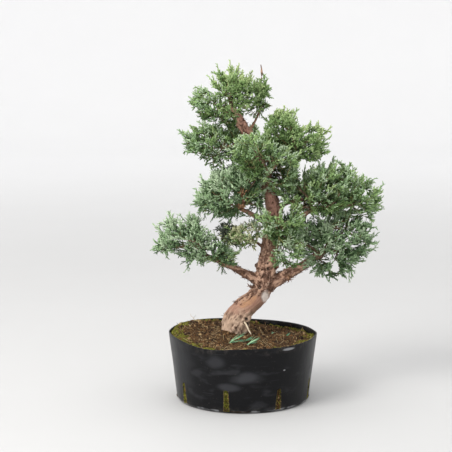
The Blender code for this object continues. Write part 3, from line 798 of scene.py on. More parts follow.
@dataclass
class Pot:
    """The low black nursery pot, its hand-cut rim and the slots at its foot."""

    rim_radius: float = 75.0
    foot_radius: float = 68.5
    height: float = 68.0
    wall: float = 1.2
    floor: float = 1.5
    rounding: float = 4.0
    segments: int = 256
    rim_lift: float = 2.6
    rim_lift_towards: float = math.radians(165)
    rim_wave: float = 0.6
    rim_low: float = 3.0
    rim_low_towards: float = math.radians(240)
    rim_low_spread: float = 0.36
    crease: float = 1.6
    crease_spread: float = math.radians(9)
    dent: float = 0.35
    dent_size: float = 23.0
    slot_count: int = 8
    first_slot: float = math.radians(-104.5)
    slot_low: float = 2.0
    slot_high: float = 24.3
    slot_foot: float = 6.2
    slot_head: float = 4.4
    sharp_angle: float = math.radians(35)

    def rim_at(self, turn: Array) -> Array:
        """Finds the height of the rim, which rises to the left and waves a little.

        Args:
            turn: directions from the pot's axis.

        Returns:
            The height in each.
        """
        lift = np.maximum(0.0, np.cos(turn - self.rim_lift_towards)) ** 2
        low = hump(np.remainder(turn, math.tau), self.rim_low_towards, self.rim_low_spread)
        wave = self.rim_wave * np.sin(3 * turn + 1.0)
        return self.height + self.rim_lift * lift + wave - self.rim_low * low

    def radius_at(self, turn: Array, height: Array) -> Array:
        """Finds the outside of the soft wall, creased where it folds at the left and the right.

        Args:
            turn: directions from the pot's axis.
            height: the height in each.

        Returns:
            The radius in each.
        """
        share = height / self.height
        folds = 0.0
        for side in (0.0, math.pi):
            off = np.remainder(turn - side + math.pi, math.tau) - math.pi
            folds = folds + self.crease * hump(off, 0.0, self.crease_spread)
        soft = 0.5 * np.cos(4 * turn + 0.6) + 0.4 * np.sin(3 * turn)
        return self.foot_radius + (self.rim_radius - self.foot_radius) * share + share * (folds + soft)

    def slots(self) -> list[float]:
        """The directions of the slots."""
        return [self.first_slot + math.tau * k / self.slot_count for k in range(self.slot_count)]

    def ring(self, share: float, height: float, inset: float) -> Array:
        """Makes one ring of the wall.

        Args:
            share: 1 to follow the rim, 0 to lie level, or a share between them.
            height: how high it lies, counted down from the rim where share is 1.
            inset: how far inside the outer wall it lies.

        Returns:
            The ring's points.
        """
        turn = math.tau * np.arange(self.segments) / self.segments
        z = self.rim_at(turn) * share + height
        reach = self.radius_at(turn, z) - inset
        points = np.stack([reach * np.cos(turn), reach * np.sin(turn), z], 1)
        dents = self.dent * rough(points, self.dent_size) * step(z, 6.0, 20.0)
        points[:, :2] += (dents / reach)[:, None] * points[:, :2]
        return points

    def rings(self) -> Array:
        """Makes every ring, from the underside out, up the wall, over the rim and down inside.

        Returns:
            The points by ring.
        """
        lip, bend = self.wall / 2, self.rounding
        found = [self.ring(0, 0.0, bend + 4), self.ring(0, 0.0, bend)]
        for turn in np.linspace(0, math.pi / 2, 6)[1:]:
            found.append(self.ring(0, bend * (1 - math.cos(turn)), bend * (1 - math.sin(turn))))
        for share in np.linspace(0, 1, 22)[1:]:
            found.append(self.ring(share, bend * (1 - share) - lip * share, 0.0))
        for turn in np.linspace(0, math.pi, 7)[1:-1]:
            found.append(self.ring(1, lip * (math.sin(turn) - 1), lip * (1 - math.cos(turn))))
        for share in np.linspace(1, 0, 14):
            found.append(self.ring(share, (self.floor + bend) * (1 - share) - lip * share, self.wall))
        for turn in np.linspace(0, math.pi / 2, 5)[1:]:
            height = self.floor + bend * (1 - math.sin(turn))
            found.append(self.ring(0, height, self.wall + bend * (1 - math.cos(turn))))
        return np.array(found)

    def cutter(self, turn: float) -> bpy.types.Object:
        """Makes the wedge with an arched head that cuts one slot.

        Args:
            turn: the slot's direction.

        Returns:
            The wedge.
        """
        head = self.slot_head / 2
        outline = [(-self.slot_foot / 2, self.slot_low), (self.slot_foot / 2, self.slot_low)]
        for arc in np.linspace(0, math.pi, 9):
            outline.append((head * math.cos(arc), self.slot_high - head + head * math.sin(arc)))
        out, across = heading(turn)
        rings = []
        for reach in (self.foot_radius - 12, self.rim_radius + 8):
            rings.append([out * reach + across * aside + UP * z for aside, z in outline])
        pile = Pile()
        pile.add(*lathe(np.array(rings)))
        return pile.make("slot", [])

    def build(self, finish: bpy.types.Material) -> None:
        """Makes the pot and cuts its slots.

        Args:
            finish: its plastic.
        """
        pile = Pile()
        pile.add(*lathe(self.rings()))
        pot = pile.make("pot_wall", [finish])
        cutters = [self.cutter(turn) for turn in self.slots()]
        group = bpy.data.collections.new("slots")
        for cutter in cutters:
            group.objects.link(cutter)
        cut = pot.modifiers.new("slots", "BOOLEAN")
        cut.operation = "DIFFERENCE"
        cut.operand_type = "COLLECTION"
        cut.collection = group
        cut.solver = "EXACT"
        pot.data = modified(pot)
        pot.modifiers.clear()
        for cutter in cutters:
            bpy.data.objects.remove(cutter)
        bpy.data.collections.remove(group)
        pot.data.set_sharp_from_angle(angle=self.sharp_angle)
        settle(pot, "black_plastic", "pot")


@dataclass(frozen=True)
class SprayPattern:
    """A spray of scale-covered cords along X, which the crown repeats.

    tips marks the faces at the cords' ends, and near those close to the spray's root.
    """

    points: Array
    faces: Array
    tips: Array
    near: Array
    length: float


@dataclass(frozen=True)
class SprayPlan:
    """How a spray is built: an axis, shoots on it and short cords on those."""

    # The axis: its lengths, the radius of every cord, and the gap between shoots
    lengths: tuple[float, ...]
    radius: float
    gap: float
    # A shoot's length: its share of the axis left, and what it has at least and at most
    share: float
    least: float
    most: float
    # The angle at which shoots leave, and how far they scatter out of the spray's plane
    angle: float
    scatter: float
    # The gap between the cords on a shoot, and their length
    cord_gap: float
    cord_length: float


class Habit(Enum):
    """The kinds of spray: slender fingers, flat fans and thin strands."""

    FINGER = SprayPlan((8.0, 11.0, 14.0, 17.5), 0.64, 1.9, 0.19, 2.2, 5.8, math.radians(33), 3.0, 2.2, 3.0)
    FAN = SprayPlan((9.0, 13.0, 17.0, 21.5), 0.56, 2.7, 0.54, 2.0, 11.5, math.radians(33), 0.45, 2.7, 4.8)
    STRAND = SprayPlan((7.0, 11.0, 15.0), 0.52, 3.8, 0.36, 1.5, 6.5, math.radians(34), 1.2, 3.2, 3.6)


@dataclass
class SprayCutter:
    """Grows the patterns of one habit."""

    habit: Habit
    variants: int = 4
    near_share: float = 0.42
    cord_lean: float = 0.6
    axis_end: float = 1.2
    shoot_end: float = 1.0

    def cord(self, rng: random.Random, root: Array, way: Array, length: float, pieces: int) -> Array:
        """Draws the path of one cord, slightly bent.

        Args:
            rng: the spray's own random numbers.
            root: where it starts.
            way: where it heads at first.
            length: its length.
            pieces: how many straight pieces it has.

        Returns:
            Rows of x, y, z and radius.
        """
        rows = []
        spot, ahead, radius = root, way, self.habit.value.radius
        bend = np.array([rng.gauss(0.10, 0.05), rng.gauss(0, 0.09), rng.gauss(0, 0.09)])
        for i in range(pieces + 1):
            share, after = (i / pieces) ** 0.72, (min(i + 1, pieces) / pieces) ** 0.72
            thick = radius * (0.80 + 0.5 * share - 0.4 * share**2)
            rows.append((*spot, thick * (1.2 if pieces == 1 else 1.0) if i < pieces else 0.0))
            ahead = unit(ahead + bend * 2 / pieces)
            spot = spot + ahead * length * (after - share)
        return np.array(rows)

    @staticmethod
    def side_way(way: Array, turn: float, angle: float) -> Array:
        """Finds a direction that leaves another.

        Args:
            way: the direction that it leaves.
            turn: how far it is turned about that from the spray's plane.
            angle: the angle between the two.

        Returns:
            The direction.
        """
        flat = unit(np.cross(np.array((0.0, 0.0, 1.0)), way))
        lean = flat * math.cos(turn) + np.cross(way, flat) * math.sin(turn)
        return unit(way * math.cos(angle) + lean * math.sin(angle))

    def pattern(self, length: float, variant: int) -> SprayPattern:
        """Grows one pattern.

        Args:
            length: its axis's length.
            variant: its number, which seeds it.

        Returns:
            The pattern.
        """
        plan = self.habit.value
        rng = random.Random(f"{self.habit.name} {length} {variant}")
        pile = Pile()
        axis = self.cord(rng, np.zeros(3), np.array((1.0, 0.0, 0.0)), length, max(3, round(length / 4)))
        self.place_cord(pile, axis)
        at, number = plan.gap * 0.6, variant
        while at < length - self.axis_end:
            number += 1
            root, way = self.along(axis, at / length)
            turn = math.pi * number + rng.gauss(0.0, plan.scatter)
            leave = plan.angle * rng.uniform(0.8, 1.2)
            reach = min(plan.most, (length - at) * plan.share + plan.least) * rng.uniform(0.8, 1.15)
            shoot = self.cord(rng, root, self.side_way(way, turn, leave), reach, 3 if reach > 5 else 2)
            self.place_cord(pile, shoot)
            spot, count = plan.cord_gap * 0.8, number
            while spot < reach - self.shoot_end:
                count += 1
                root, way = self.along(shoot, spot / reach)
                turn = math.pi * count + rng.gauss(0.0, self.cord_lean)
                size = min(plan.cord_length, (reach - spot) * 0.6 + 1.4) * rng.uniform(0.75, 1.2)
                side = self.side_way(way, turn, leave * 0.9)
                self.place_cord(pile, self.cord(rng, root, side, size, 2 if size > 2.6 else 1))
                spot += plan.cord_gap * rng.uniform(0.8, 1.25)
            at += plan.gap * rng.uniform(0.8, 1.25)
        points, faces = np.concatenate(pile.points), np.concatenate(pile.faces)
        near = points[faces, 0].mean(1) < self.near_share * length
        return SprayPattern(points, faces, np.concatenate(pile.shades).astype(bool), near, length)

    @staticmethod
    def along(path: Array, share: float) -> tuple[Array, Array]:
        """Finds a place on a path.

        Args:
            path: rows that start with x, y and z.
            share: how far along the place lies, from 0 to 1.

        Returns:
            The point there and the way ahead.
        """
        place = share * (len(path) - 1)
        low = min(int(place), len(path) - 2)
        way = path[low + 1, :3] - path[low, :3]
        return path[low, :3] + way * (place - low), unit(way)

    @staticmethod
    def place_cord(pile: Pile, path: Array) -> None:
        """Adds a cord's skin, whose rings are turned by half a side, as its scales are, and marks its tip.

        Args:
            pile: where it goes.
            path: the cord's rows of x, y, z and radius.
        """
        sides = 3
        points, faces = tube(path, sides, twist=math.pi / sides, closed=False)
        tip = (faces >= len(points) - 1 - sides).any(1)
        pile.add(points, faces, tip.astype(int))

    def patterns(self) -> list[list[SprayPattern]]:
        """The variants of each length, shortest first."""
        lengths = self.habit.value.lengths
        return [[self.pattern(length, k) for k in range(self.variants)] for length in lengths]


Patterns = dict[Habit, list[list[SprayPattern]]]


@dataclass
class Limbs:
    """The trunk and its boughs in one skin, with the bark's fibres, flutes, knots and scars."""

    # x, y, z and diameter, from the soil to the tip
    trunk: tuple[tuple[float, float, float, float], ...] = (
        (-7.6, 15, 65.0, 19.4), (-8.2, 15, 73, 21.2), (-7.0, 14, 82, 22.6), (-1, 12.5, 90, 21.4),
        (7, 10.5, 96.5, 19.6), (14, 8, 103, 19.2), (18.7, 6, 110, 19.2), (21.5, 4, 119, 19.2),
        (23.5, 3, 129, 18.6), (25, 2, 140, 17.4), (26, 2, 151, 15.6), (26.5, 2, 163, 14.4),
        (30, 4, 184, 14.4), (31, 6, 200, 13.8), (26, 8, 217, 12.0), (21, 9, 235, 10.4),
        (13, 8, 254, 9.8), (6, 5, 271, 9.2), (-3, 2, 288, 8.0), (-9, 0, 300, 5.4), (-12, -1, 308, 4.0),
    )
    # The height where each bough leaves, its tip, its two diameters and how far it bows up
    boughs: dict[str, tuple[float, Triple, float, float, float]] = field(default_factory=lambda: {
        "left_low": (120, (-31, -4, 147), 9.6, 5.0, 1.2),
        "right_low": (117, (79, 1, 151), 13.2, 7.2, -2.6),
        "left_inner": (153, (10, -2, 166), 3.6, 2.4, 1.0),
        "back_low": (168, (44, 28, 170), 4.4, 3.0, -1.0),
        "front_low": (176, (36, -18, 181), 4.2, 3.0, 1.0),
        "right_mid": (176, (66, -4, 195), 6.6, 4.4, -2.0),
        "left_mid": (180, (-2, -6, 199), 6.0, 4.0, 1.0),
        "back_right": (198, (63, 40, 203), 5.0, 3.6, 1.0),
        "back_left": (214, (5, 33, 214), 4.4, 3.4, 1.0),
        "front_upper": (236, (20, -16, 248), 4.4, 3.4, 1.0),
        "right_upper": (228, (47, 2, 260), 5.6, 3.8, 2.0),
        "back_upper": (247, (18, 30, 252), 4.4, 3.4, 1.0),
        "left_upper": (262, (-15, 5, 262), 4.6, 3.2, 1.0),
        "apex_right": (275, (18, 5, 301), 3.0, 2.0, -1.5),
        "apex_left": (288, (-21, 4, 299), 3.8, 2.6, 0.5),
    })
    # Roots that spread from the foot: where each leaves the trunk, where it dives and how thick it is
    roots: tuple[tuple[Triple, Triple, float], ...] = (
        ((1, 3.2, 93), (-12, 6.4, 64), 2.4), ((-4, 5.6, 93), (-17, 10.0, 64), 2.4),
        ((-8, 8.4, 91), (-19.5, 13.5, 64), 2.5), ((6, 3.6, 92), (-6, 6.4, 64), 2.2),
        ((6, 8.0, 88), (1, 10.0, 64), 2.5), ((-8, 24, 84), (-9, 28, 62), 3.4),
        ((4, 20, 84), (2, 23, 62), 3.0), ((-17, 20, 82), (-19, 22, 62), 3.0),
    )
    # Knots that stand out: centre and radius; the first two get a pale painted highlight on their front
    knots: tuple[tuple[Triple, float], ...] = (
        ((22.5, -4.6, 132), 3.9), ((25.0, -4.6, 121), 2.2), ((30.5, -2.0, 126), 2.4), ((14.8, 0.0, 125), 2.4),
        ((43.0, -1.0, 131.6), 3.1), ((46, -3.5, 127), 3.0), ((33, 1, 146), 2.4), ((20, -3.4, 148), 2.3),
        ((5.0, 6.0, 82), 3.4), ((8, -1.0, 126), 2.6), ((24, -5, 165), 2.2), ((7, 0.5, 277), 3.4),
        ((1, -1.4, 285), 3.0), ((10, 3, 266), 2.6),
    )
    # Short stubs of dead twigs: foot, tip and radius
    stubs: tuple[tuple[Triple, Triple, float], ...] = (
        ((18, 1, 138), (12.6, -0.5, 140.5), 1.5), ((12, 2, 115), (6.4, 0.5, 117.5), 0.8),
        ((16, 1, 130), (9.2, -0.6, 132.5), 0.7), ((42, -1, 132), (43.5, -3.0, 137.0), 1.2),
        ((28, -3, 150), (31, -9.5, 152), 1.0), ((33, 2, 138), (37.5, -1.5, 141), 1.1),
        ((17.5, 5, 301), (15.0, 3, 317), 1.0), ((15.0, 3, 316), (19.0, 2, 336), 0.9),
        ((19.0, 2, 335), (17.6, 2, 348.0), 0.85), ((8, 4, 271), (14.5, -3.5, 276), 0.9),
        ((27, 4, 218), (19, -1.0, 223), 1.0), ((24, 0, 160), (17.5, -4, 163), 0.9),
    )
    # Hollows, each also darkened as painted shade: centre, radius and depth
    pits: tuple[tuple[Triple, float, float], ...] = (
        ((17, -4.6, 117), 2.0, 1.8), ((26, -6.5, 137), 2.4, 2.6), ((25.5, -6.3, 142.6), 1.3, 1.2),
        ((29, -4.5, 121.5), 1.3, 1.3), ((30, -2, 131), 1.5, 1.6), ((3.5, 2.5, 82), 2.2, 1.6),
        ((7.0, 6.5, 77), 4.6, 1.0), ((4.5, 4.5, 71), 3.0, 0.8),
    )
    highlit_knots: int = 2
    scar: Triple = (23.0, -1.2, 107.0)
    scar_half: tuple[float, float] = (3.7, 6.4)
    scar_depth: float = 0.45
    scar_lip: float = 0.9
    stain_place: Triple = (5.5, 0.0, 101.0)
    stain_half: tuple[float, float] = (8.0, 5.5)
    small_stains: tuple[Triple, ...] = ((46.0, -4.0, 127.5), (-4.0, -2.0, 131.0))
    small_stain_half: Triple = (5.5, 6.0, 3.0)
    flare_lobes: int = 5
    flare: float = 0.05
    flare_height: float = 10.0
    soil_seat: float = 65.0
    buried: float = 5.0
    spacing: float = 1.6
    trunk_sides: int = 72
    bough_sides: int = 24
    taper_power: float = 0.65
    voxel: float = 0.72
    softening: int = 5
    collar: float = 0.36
    collar_length: float = 6.0
    relief_height: float = 1.55
    full_girth: float = 9.0
    root_girth: tuple[float, float] = (8.6, 9.3)
    limb_apart: float = 37.0
    grain_stretch: float = 6.5
    flake_count: int = 1900
    flake_section: tuple[float, ...] = (0.7, 1.0, 0.95, 0.7, 0.15)
    shaggy_height: float = 285.0
    # Where strips peel: height, spread and how many, over an even few
    shaggy_zones: tuple[Triple, ...] = ((285.0, 12.0, 1.2), (132.0, 22.0, 1.6), (204.0, 13.0, 1.8))
    shaggy_even: float = 0.35
    shaggy_bend: Triple = (109.0, 9.0, 3.0)
    # Ruddy, smoother stretches, the one at 203 mm made lighter as painted light where the crown shades the
    # trunk: height, the reaches where they end and are full, and how smooth they are
    ruddy_zones: tuple[tuple[float, float, float, float], ...] = (
        (284.0, 14.0, 7.0, 1.0), (203.0, 16.0, 9.0, 1.1),
    )

    def trunk_centre(self, height: float) -> Array:
        """The point on the trunk's axis at a height."""
        rows = np.array(self.trunk, float)
        return np.array([np.interp(height, rows[:, 2], rows[:, axis]) for axis in range(3)])

    def bough_path(self, name: str, spacing: float) -> Array:
        """Draws a bough from the trunk's axis to its tip.

        Args:
            name: the bough.
            spacing: about how far apart its points lie.

        Returns:
            Rows of x, y, z and radius.
        """
        height, tip, wide, narrow, bow = self.boughs[name]
        start, end = self.trunk_centre(height), np.array(tip, float)
        pieces = max(3, round(float(np.linalg.norm(end - start)) / spacing))
        t = (np.arange(pieces + 1) / pieces)[:, None]
        centres = start + (end - start) * t + UP * bow * np.sin(math.pi * t)
        return np.hstack([centres, (wide + (narrow - wide) * t**self.taper_power) / 2])

    def paths(self, spacing: float) -> dict[str, Array]:
        """The path of the trunk and of each bough, with points about this far apart."""
        boughs = {name: self.bough_path(name, spacing) for name in self.boughs}
        return {"trunk": smooth_path(self.trunk, spacing), **boughs}

    def trunk_skin(self) -> tuple[Array, Array]:
        """Skins the trunk, flared into lobes at its foot and a little uneven all the way up.

        Returns:
            The points and the triangles.
        """
        path = smooth_path(self.trunk, self.spacing)
        below, tip = path[:1].copy(), path[-1:].copy()
        below[0, 2] -= self.buried
        tip[0, 2] += 1.0
        path = np.vstack([below, path, tip])
        turn = math.tau * np.arange(self.trunk_sides) / self.trunk_sides
        height = path[:-1, 2:3]
        fade = np.exp(-np.maximum(height - self.soil_seat, 0) / self.flare_height)
        swell = 1 + self.flare * fade * (0.5 + 0.5 * np.cos(self.flare_lobes * turn))
        swell = swell + 0.05 * hump(height, 80, 14) * np.cos(9 * turn + height / 5)
        high = step(height, 108.0, 122.0)
        swell = swell + high * (0.045 * np.sin(3 * turn + height / 9) + 0.03 * np.sin(5 * turn - height / 5))
        shaggy = hump(height, self.shaggy_height, 10)
        swell = swell + shaggy * (0.10 + 0.12 * np.sin(4 * turn + height / 2.5))
        return tube(path, self.trunk_sides, swell)

    def bough_skin(self, name: str) -> tuple[Array, Array]:
        """Skins a bough, swollen where it leaves the trunk and uneven along its length.

        Args:
            name: the bough.

        Returns:
            The points and the triangles.
        """
        path = self.bough_path(name, self.spacing)
        foot = path[0, :3]
        bare = np.interp(foot[2], [row[2] for row in self.trunk], [row[3] / 2 for row in self.trunk])
        away = np.maximum(np.linalg.norm(path[:, :3] - foot, axis=1) - bare, 0)
        lumps = 0.10 * rough(path[:, :3], 8.0, 3.0) + 0.05 * rough(path[:, :3], 3.0, 5.0)
        path[:, 3] *= 1 + self.collar * np.exp(-away / self.collar_length) + lumps
        to_tip = len(path) - np.arange(len(path))
        wander = min(0.9, path[-1, 3] * 0.35) * step(away, 2.0, 14.0) * step(to_tip, 1.0, 6.0)
        for axis, shift in ((2, 11.0), (1, 17.0)):
            path[:, axis] += wander * rough(path[:, :3], 9.0, shift)
        way = unit(path[-1, :3] - path[-2, :3])
        beyond = [[*(path[-1, :3] + way * 1.4), path[-1, 3] * 0.8], [*(path[-1, :3] + way * 2.2), 0.0]]
        return tube(np.vstack([path, beyond]), self.bough_sides)

    def skin(self) -> bpy.types.Object:
        """Melts every limb, root, knot and stub into one even skin.

        Returns:
            The skin, not yet barked.
        """
        pile = Pile()
        pile.add(*self.trunk_skin())
        for name in self.boughs:
            pile.add(*self.bough_skin(name))
        for start, end, thick in self.roots:
            pile.add(*self.root_skin(np.array(start, float), np.array(end, float), thick))
        for centre, size in self.knots:
            t = np.linspace(-1, 1, 9)
            ball = np.stack([t * size, 0 * t, 0 * t, size * np.sqrt(np.maximum(1 - t * t, 0))], 1)
            ball[:, :3] += centre
            pile.add(*tube(ball, 12))
        for foot, tip, thick in self.stubs:
            t = np.linspace(0, 1, 6)[:, None]
            path = np.array(foot) * (1 - t) + np.array(tip) * t
            pile.add(*tube(np.hstack([path, thick * (1.25 - 0.5 * t)]), 10))
        made = pile.make("limbs", [])
        melt = made.modifiers.new("melt", "REMESH")
        melt.mode = "VOXEL"
        melt.voxel_size = self.voxel * MM
        soften = made.modifiers.new("soften", "SMOOTH")
        soften.factor = 0.5
        soften.iterations = self.softening
        made.data = modified(made)
        made.modifiers.clear()
        return made

    @staticmethod
    def root_skin(start: Array, end: Array, thick: float) -> tuple[Array, Array]:
        """Skins a root that leaves the trunk's foot along it and turns outward into the soil.

        Args:
            start: where it leaves the trunk.
            end: where it dives.
            thick: its radius.

        Returns:
            The points and the triangles.
        """
        t = np.linspace(0, 1, 12)[:, None]
        bend = (start + end) / 2 + UP * 3.0
        path = start * (1 - t) ** 2 + bend * 2 * t * (1 - t) + end * t**2
        return tube(np.hstack([path, thick * (1.0 - 0.15 * np.sin(9 * t))]), 14)

    def build(self, finish: bpy.types.Material) -> None:
        """Makes the limbs with their bark, and the strips that peel from it.

        Args:
            finish: the bark.
        """
        made = self.skin()
        mesh = made.data
        count = len(mesh.vertices)
        points, normals = np.empty(count * 3), np.empty(count * 3)
        mesh.vertices.foreach_get("co", points)
        mesh.vertex_normals.foreach_get("vector", normals)
        points, normals = points.reshape(-1, 3) / MM, normals.reshape(-1, 3)
        bark = self.survey(points)
        raised = self.relief(points, normals, bark)
        mesh.vertices.foreach_set("co", ((points + normals * raised[:, None]) * MM).ravel())
        for name in ("relief", "smooth", "root", "stain", "wood", "dark", "red"):
            marks = mesh.attributes.new(name, "FLOAT", "POINT")
            marks.data.foreach_set("value", bark[name].astype(np.float32))
        grain = mesh.attributes.new("grain", "FLOAT_VECTOR", "POINT")
        grain.data.foreach_set("vector", bark["grain"].astype(np.float32).ravel())
        mesh.materials.clear()
        mesh.materials.append(finish)
        mesh.shade_smooth()
        made.name = "limbs_bark"
        settle(made, "juniper_bark", "trunk", *[f"bough_{name}" for name in self.boughs])
        self.peel(points, normals, bark)

    def left_edge(self, height: Array) -> Array:
        """The X of the trunk's left edge at each height."""
        return np.interp(height, [row[2] for row in self.trunk], [row[0] - row[3] / 2 for row in self.trunk])

    def survey(self, points: Array) -> dict[str, Array]:
        """Finds what each point of the skin is.

        Args:
            points: the skin's points.

        Returns:
            For each point its place across and along its limb, that limb's radius and way there, and how
            far it is smooth or belongs to the roots.
        """
        columns = []
        for number, path in enumerate(self.paths(1.5).values()):
            way, side, across = frames(path[:, :3])
            steps = np.r_[0, np.linalg.norm(np.diff(path[:, :3], axis=0), axis=1).cumsum()]
            columns.append((path, way, side, across, (steps + number * self.limb_apart)[:, None]))
        stations, ways, sides, others, starts = (np.vstack(rows) for rows in zip(*columns))
        tree = kdtree.KDTree(len(stations))
        for i, row in enumerate(stations[:, :3].tolist()):
            tree.insert(row, i)
        tree.balance()
        near = np.array([tree.find(row)[1] for row in points.tolist()])
        away = points - stations[near, :3]
        ahead = (away * ways[near]).sum(1)
        u, v = (away * sides[near]).sum(1), (away * others[near]).sum(1)
        height, girth = points[:, 2], stations[near, 3]
        is_trunk = step(girth, *self.root_girth)
        calm = step(height, 112.0, 104.0) * step(height, 82.0, 91.0) * is_trunk
        calm = calm * (1 - 0.8 * step(rough(points, 8.0, 2.0), 0.3, 0.5) * step(height, 100.0, 106.0))
        under = step(points[:, 0] - self.left_edge(height), 2.5, 0.5) * step(height, 96.0, 102.0)
        wander = 5.0 * rough(points, 7.0, 12.0) + 3.0 * rough(points, 2.5, 4.0)
        return {
            "grain": np.stack([u, v, (starts[near, 0] + ahead) / self.grain_stretch], 1),
            "girth": girth,
            "ways": ways[near],
            "smooth": np.clip(calm - under, 0, 1),
            "root": step(height + wander - points[:, 0] * 0.15, 97.0, 79.0) * is_trunk,
        }

    def relief(self, points: Array, normals: Array, bark: dict[str, Array]) -> Array:
        """Raises the bark's fibres, plates and hollows, and marks them for the finish.

        Args:
            points: the skin's points.
            normals: the way out at each.
            bark: what survey found, which gains relief, stain, wood, red and dark.

        Returns:
            How far each point is raised.
        """
        grain, girth, rooty = bark["grain"], bark["girth"], bark["root"]
        fibre = 1 - 2 * np.abs(rough(grain, 1.5, 1.0))
        strand = 1 - 2 * np.abs(rough(grain, 3.2, 7.0))
        lumps = rough(points, 4.0, 5.0)
        plate = step(rough(grain * (1, 1, 2.2), 4.0, 9.0) + 0.3 * rough(points, 1.7, 2.0), -0.05, 0.12)
        scale = self.relief_height * np.clip(girth / self.full_girth, 0.22, 1.0) * (1 - 0.84 * bark["smooth"])
        shape = 0.42 * fibre + 0.45 * strand + 0.75 * (plate - 0.5) + 0.35 * lumps
        twisted = grain * (1, 1, 0.6) + np.outer(grain[:, 2] * 4.0, (1, 0, 0))
        flutes = 1 - 2 * np.abs(rough(twisted, 4.2, 3.0))
        raised = scale * shape * (1 - rooty) + rooty * (1.15 * flutes + 0.7 * fibre + 0.35 * lumps)
        # The tone follows the raised shape, of bark and roots alike, so that the finish paints shade into the
        # low places and a highlight onto the high ones
        tone = 0.35 + 0.3 * (0.42 * fibre + 0.5 * strand) + 0.42 * plate + 0.12 * lumps
        root_tone = 0.28 + 0.6 * flutes + 0.34 * fibre + 0.3 * lumps
        bark["relief"] = np.clip(tone * (1 - rooty) + rooty * root_tone, 0, 1)
        front = step(-normals[:, 1], -0.1, 0.3)
        bark["stain"] = self.stains(points, front, lumps)
        healed, lip = self.healed_scar(points)
        raised = raised * (1 - healed) + lip * self.scar_lip - healed * self.scar_depth
        bark["wood"] = np.maximum(healed * 0.95, lip * 0.30)
        # A pale painted highlight on the front of the first knots, kept with the scar's wood
        for centre, size in self.knots[: self.highlit_knots]:
            painted_highlight = step(np.linalg.norm(points - centre, axis=1) / size, 1.0, 0.72)
            bark["wood"] = np.maximum(bark["wood"], painted_highlight * 0.3 * front)
        zones = [step(np.abs(points[:, 2] - at), end, full) for at, end, full, _ in self.ruddy_zones]
        ruddy = sum(zone * row[3] for zone, row in zip(zones, self.ruddy_zones))
        bark["smooth"] = np.maximum(bark["smooth"], 0.7 * ruddy)
        # Ruddy bark at the top and, painted lighter against the crown's shade, at 203 mm
        bark["red"] = (step(points[:, 2], 262.0, 276.0) * 0.5 + zones[1] * 0.65) * step(girth, 2.0, 3.2)
        bark["dark"] = np.zeros(len(points))
        # Each hollow is sunk and darkened with the crack colour, a painted shade
        for centre, size, depth in self.pits:
            hollow = hump(np.linalg.norm(points - centre, axis=1), 0.0, size)
            raised = raised - depth * hollow
            bark["dark"] = np.maximum(bark["dark"], step(hollow, 0.25, 0.7) * 0.95)
        for _, tip, thick in self.stubs:
            dead = np.linalg.norm(points - tip, axis=1) / (thick * 3.4)
            bark["dark"] = np.maximum(bark["dark"], step(dead, 1.0, 0.5) * 0.75)
        return raised

    def stains(self, points: Array, front: Array, lumps: Array) -> Array:
        """Finds the rusty stains.

        Args:
            points: the skin's points.
            front: how far each faces the front.
            lumps: the noise that makes their edges ragged.

        Returns:
            How stained each point is.
        """
        off = points - self.stain_place
        across = (off[:, 0] - off[:, 2] * 0.5) / self.stain_half[0]
        along = (off[:, 2] - off[:, 0] * 0.4) / self.stain_half[1]
        stain = step(np.hypot(across, along) + 0.3 * lumps, 1.1, 0.6) * front
        for place in self.small_stains:
            patch = np.linalg.norm((points - place) / self.small_stain_half, axis=1) + 0.3 * lumps
            stain = np.maximum(stain, step(patch, 1.0, 0.6) * 0.75)
        return stain

    def healed_scar(self, points: Array) -> tuple[Array, Array]:
        """Finds the oval scar where a bough was cut.

        Args:
            points: the skin's points.

        Returns:
            How far each lies on its bare wood, and on the lip round it.
        """
        off = points - self.scar
        reach = np.hypot(off[:, 0] / self.scar_half[0], off[:, 2] / self.scar_half[1])
        reach = reach + 9 * step(off[:, 1], 5.0, 6.0) + 0.10 * rough(points, 3.0)
        return step(reach, 1.0, 0.82), hump(reach, 1.05, 0.16)

    def peel(self, points: Array, normals: Array, bark: dict[str, Array]) -> None:
        """Adds thin strips of bark that lift at one end, most where the trunk is shaggy.

        Args:
            points: the skin's points.
            normals: the way out at each.
            bark: what survey and relief found.
        """
        rng = np.random.default_rng(5)
        height = points[:, 2]
        zones = [share * hump(height, at, wide) for at, wide, share in self.shaggy_zones]
        at, wide, share = self.shaggy_bend
        bend = share * hump(height, at, wide) * step(points[:, 0] - self.left_edge(height), 4.0, 1.0)
        weight = (self.shaggy_even + sum(zones) + bend) * step(bark["girth"], 1.4, 4.5)
        weight = weight * (1 - bark["smooth"]) * (1 - bark["root"] * 0.7)
        off = (points - self.scar) / (self.scar_half[0] + 2.5, 9.0, self.scar_half[1] + 2.0)
        weight = weight * (np.linalg.norm(off, axis=1) > 1)
        chosen = rng.choice(len(points), self.flake_count, p=weight / weight.sum())
        pile = Pile()
        t = np.linspace(0, 1, len(self.flake_section))[:, None]
        for i in chosen:
            out, along = normals[i], bark["ways"][i] * rng.choice((-1, 1))
            along = unit(along - out * (along @ out) + rng.normal(0, 0.12, 3))
            across = np.cross(out, along)
            length = rng.uniform(2.2, 6.0)
            wide = rng.uniform(0.5, 1.3) * (0.5 + min(bark["girth"][i], self.full_girth) / 18)
            lift, curl = rng.uniform(0.3, 1.5), rng.uniform(-0.3, 0.5)
            middle = points[i] + along * length * t + out * (0.15 + lift * t**2)
            half = wide * np.array(self.flake_section)[:, None]
            edge = across * half + out * curl * half
            rings = [middle + edge, middle - out * 0.28, middle - edge, middle + out * 0.12]
            pile.add(*lathe(np.stack(rings, 1)))
        settle(pile.make("bark_flakes", [Ground.PEEL.value.make()]), "juniper_bark")


